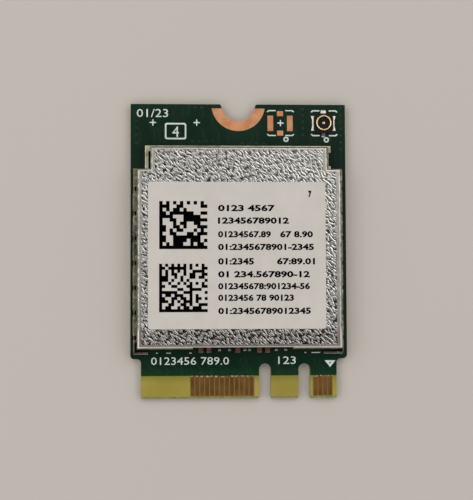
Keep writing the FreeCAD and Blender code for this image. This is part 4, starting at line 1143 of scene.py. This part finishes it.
# %% Print: rows of digits
def digit_row(text, left, right, low, high, bottom, thickness, weight=0.0):
    """A row of digits as a list of points and faces, fitted between two X and two Y values."""
    letters = bpy.data.curves.new("digits", "FONT")
    letters.body = text
    letters.size = 1.0
    letters.extrude = 0.5
    letters.offset = weight
    letters.resolution_u = 2
    flat = mesh_of(bpy.data.objects.new("digits", letters))
    spots = [vertex.co.copy() for vertex in flat.vertices]
    low_x, high_x = min(p.x for p in spots), max(p.x for p in spots)
    low_y, high_y = min(p.y for p in spots), max(p.y for p in spots)
    points = [Vector((left + (p.x - low_x) / (high_x - low_x) * (right - left),
                      low + (p.y - low_y) / (high_y - low_y) * (high - low),
                      bottom + (p.z + 0.5) * thickness)) * MM for p in spots]
    faces = [tuple(face.vertices) for face in flat.polygons]
    bpy.data.meshes.remove(flat)
    return points, faces


def print_piece(name, parts, material):
    """Join printed shapes, each a list of points and faces, into one closed piece."""
    points, faces = [], []
    for part_points, part_faces in parts:
        first = len(points)
        points += part_points
        faces += [tuple(first + index for index in face) for face in part_faces]
    made = bpy.data.meshes.new(name)
    made.from_pydata(points, [], faces)
    mesh = bmesh.new()
    mesh.from_mesh(made)
    clean_mesh(mesh, made).materials.append(material)
    piece = stand(name, made)
    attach(piece, "root")


LABEL_ROWS = (
    # digits, left and right end, middle height, how many times the usual boldness
    ("0123 4567", -2.16, 3.6, 4.19, 1),
    ("123456789012", -2.16, 5.01, 2.92, 1),
    ("01234567.89", -2.16, 3.19, 1.54, 1),
    ("67 8.90", 4.1, 7.44, 1.54, 1),
    ("01:2345678901-2345", -2.16, 7.53, 0.26, 1),
    ("01:2345", -2.16, 1.46, -1.19, 1),
    ("67:89.01", 3.77, 7.62, -1.19, 1),
    ("01 234.567890-12", -2.16, 7.1, -2.49, 1),
    ("012345678:901234-56", -2.16, 7.1, -3.69, 1),
    ("0123456 78 90123", -2.16, 5.47, -4.85, 1),
    ("01:23456789012345", -2.16, 7.18, -6.17, 1),
    ("7", 7.0, 7.32, 5.62, 2),
)
ROW_HALF_HEIGHT = 0.34
LABEL_WEIGHT = 0.04
print_piece("label_digits",
            [digit_row(text, left, right, y - ROW_HALF_HEIGHT, y + ROW_HALF_HEIGHT, PAPER_TOP, INK_THICKNESS,
                       bold * LABEL_WEIGHT) for text, left, right, y, bold in LABEL_ROWS], BLACK_INK)

# %% [markdown]
# Where a track changes sides it passes through a tiny plated hole. The coating closes the hole and leaves a
# low round bump. The bumps are all alike, so one flat dome is put on a list of points with Geometry Nodes.

# %% Board: coated through holes
DOME_RADIUS, DOME_HEIGHT = 0.17, 0.012
HOLE_ROWS = (
    # first place, step to the next, how many
    (-10.4, 10.95, 0.0, 0.0, 1), (-5.0, 14.62, 0.62, 0.0, 3), (-4.7, 11.15, 0.7, 0.0, 4),
    (0.4, 10.95, 0.72, 0.0, 4), (6.62, 14.5, 0.0, -0.66, 5), (10.52, 14.6, 0.0, -0.7, 7),
    (-8.9, -12.35, 0.9, 0.0, 4), (-4.4, -12.45, 0.5, 0.0, 11), (3.9, -12.4, 0.5, 0.0, 5),
    (-10.4, 13.2, 0.0, -0.7, 3),
)


def make_dome_tree():
    """One low dome on every point."""
    tree, given, result = geometry_tree("coated_holes", [("Radius", "Float"), ("Height", "Float")])
    ball = add_node(tree, "GeometryNodeMeshUVSphere", "Mesh", {"Segments": 20, "Rings": 10, "Radius": 1.0})
    size = vector_of(tree, given["Radius"], given["Radius"], given["Height"])
    domes = add_node(tree, "GeometryNodeInstanceOnPoints", 0, {
        "Points": given["Geometry"], "Instance": ball, "Scale": size})
    return finish_tree(tree, domes, given, result)


hole_mesh = bpy.data.meshes.new("hole_places")
hole_mesh.from_pydata([((x + step_x * k) * MM, (y + step_y * k) * MM, BOARD_TOP * MM)
                       for x, y, step_x, step_y, count in HOLE_ROWS for k in range(count)], [], [])
HOLE_COATING = plain_finish("coating_over_holes", ((4, 32, 19), (8, 40, 26)), 0.26, depth=0.003, dust=0.0,
                            gloss=0.25)
coated_holes = grow("coated_holes", hole_mesh, make_dome_tree(), {
    "Radius": DOME_RADIUS * MM, "Height": DOME_HEIGHT * MM, "Material": HOLE_COATING})
coated_holes.data.shade_smooth()
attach(coated_holes, "root")

# %% [markdown]
# The board is marked with white ink: two crosses and a framed digit at the upper left, brackets and a ring
# at each antenna place, one more cross where no receptacle is fitted, and digits and an arrowhead above the
# contacts. They are simple outlines, so each is a flat shape given the thickness of the ink.

# %% Print: shapes in white ink
WHITE_INK = plain_finish("white_ink", ((184, 196, 187), (206, 214, 206)), 0.5, dust=0.02)
WHITE_THICKNESS = 0.014


def raised(outer, hole=None):
    """A flat shape, with or without a hole of as many points, given the thickness of the white ink."""
    low, high = BOARD_TOP, BOARD_TOP + WHITE_THICKNESS
    count = len(outer)
    loops = [outer] if hole is None else [outer, hole]
    points = [Vector((x, y, z)) * MM for loop in loops for z in (low, high) for x, y in loop]
    turn = [(k, (k + 1) % count) for k in range(count)]
    faces = [(a, b, b + count, a + count) for a, b in turn]
    if hole is None:
        faces += [tuple(reversed(range(count))), tuple(range(count, 2 * count))]
    else:
        faces += [(a + 2 * count, a + 3 * count, b + 3 * count, b + 2 * count) for a, b in turn]
        faces += [(a, a + 2 * count, b + 2 * count, b) for a, b in turn]
        faces += [(a + count, b + count, b + 3 * count, a + 3 * count) for a, b in turn]
    return points, faces


def stroke(path, width, cap_steps=6):
    """The outline of a line of some width drawn along a path, with round ends."""
    path = [Vector(spot) for spot in path]
    sides = [(b - a).normalized().orthogonal() for a, b in zip(path, path[1:])]
    joints = [sides[0]] + [(a + b) / (1 + a.dot(b)) for a, b in zip(sides, sides[1:])] + [sides[-1]]
    half = width / 2
    outline = [spot - joint * half for spot, joint in zip(path, joints)]
    for end, side in ((path[-1], sides[-1]), (path[0], -sides[0])):
        ahead = -side.orthogonal()
        for step in range(1, cap_steps):
            angle = math.pi * step / cap_steps
            outline.append(end - side * half * math.cos(angle) + ahead * half * math.sin(angle))
        if end is path[-1]:
            outline += [spot + joint * half for spot, joint in zip(reversed(path), reversed(joints))]
    return [tuple(spot) for spot in outline]


def cross(x, y, reach=0.33, root=0.068, tip=0.04):
    """A plus sign whose arms narrow towards their ends."""
    end = tip + (root - tip) * 0.3
    outline = []
    for turn in range(4):
        for px, py in ((end, -reach), (-end, -reach), (-root, -root)):
            for _ in range(turn):
                px, py = py, -px
            outline.append((x + px, y + py))
    return raised(outline)


def ring(x, y, outer=0.28, inner=0.125, steps=32):
    """A printed ring."""
    turns = [2 * math.pi * step / steps for step in range(steps)]
    return raised(*([(x + radius * math.cos(t), y + radius * math.sin(t)) for t in turns]
                    for radius in (outer, inner)))


def frame_mark(left, right, low, high, radius, line):
    """A rectangle drawn with a line and rounded corners."""
    outer = rounded_outline(left, right, low, high, radius, 6)
    inner = rounded_outline(left + line, right - line, low + line, high - line, radius - line * 0.7, 6)
    return raised(outer, inner)


def antenna_place(x, y, reach_x, reach_y, width, line, bend=0.13):
    """The four corner brackets round an antenna place: short bars whose outer ends turn inwards."""
    brackets = []
    for sx, sy in ((-1, -1), (-1, 1), (1, -1), (1, 1)):
        out_x, bar_y = x + sx * (reach_x - line / 2), y + sy * (reach_y - line / 2)
        brackets.append(raised(stroke([(x + sx * (reach_x - width + line / 2), bar_y), (out_x - sx * bend, bar_y),
                                       (out_x, bar_y - sy * bend * 0.8)], line)))
    return brackets


def arrowhead(left, right, high, tip, inner=0.13, line=0.19):
    """A triangle that points to the contacts, drawn with so thick a line that little shows through it."""
    middle, top = (left + right) / 2, high - line
    return raised([(left, high), (middle, tip), (right, high)],
                  [(middle - inner, top), (middle, top - inner * 1.2), (middle + inner, top)])


print("an arrowhead has", len(arrowhead(0, 1, 1, 0)[0]), "points")

# %% Print: white marks on the board
BOARD_ROWS = (
    # digits, left and right end, lower and upper edge
    ("4", -6.75, -6.07, 11.61, 12.72),
    ("01/23", -10.38, -7.17, 13.65, 14.49),
    ("0123456 789.0", -8.91, -1.03, -11.59, -10.82),
    ("123", 3.97, 5.77, -11.56, -10.79),
)
board_marks = [cross(-8.73, 13.1), cross(-4.26, 13.1), cross(4.34, 13.09),
               frame_mark(-7.51, -5.32, 11.37, 13.06, 0.22, 0.16), ring(9.06, 11.37), ring(4.9, 11.41),
               arrowhead(8.7, 9.82, -11.2, -11.89)]
board_marks += antenna_place(8.845, 13.09, 1.37, 1.35, 0.9, 0.135)
board_marks += antenna_place(4.345, 13.09, 1.395, 1.345, 0.92, 0.12)
board_marks += [digit_row(*row, BOARD_TOP, WHITE_THICKNESS) for row in BOARD_ROWS]
print_piece("board_marks", board_marks, WHITE_INK)
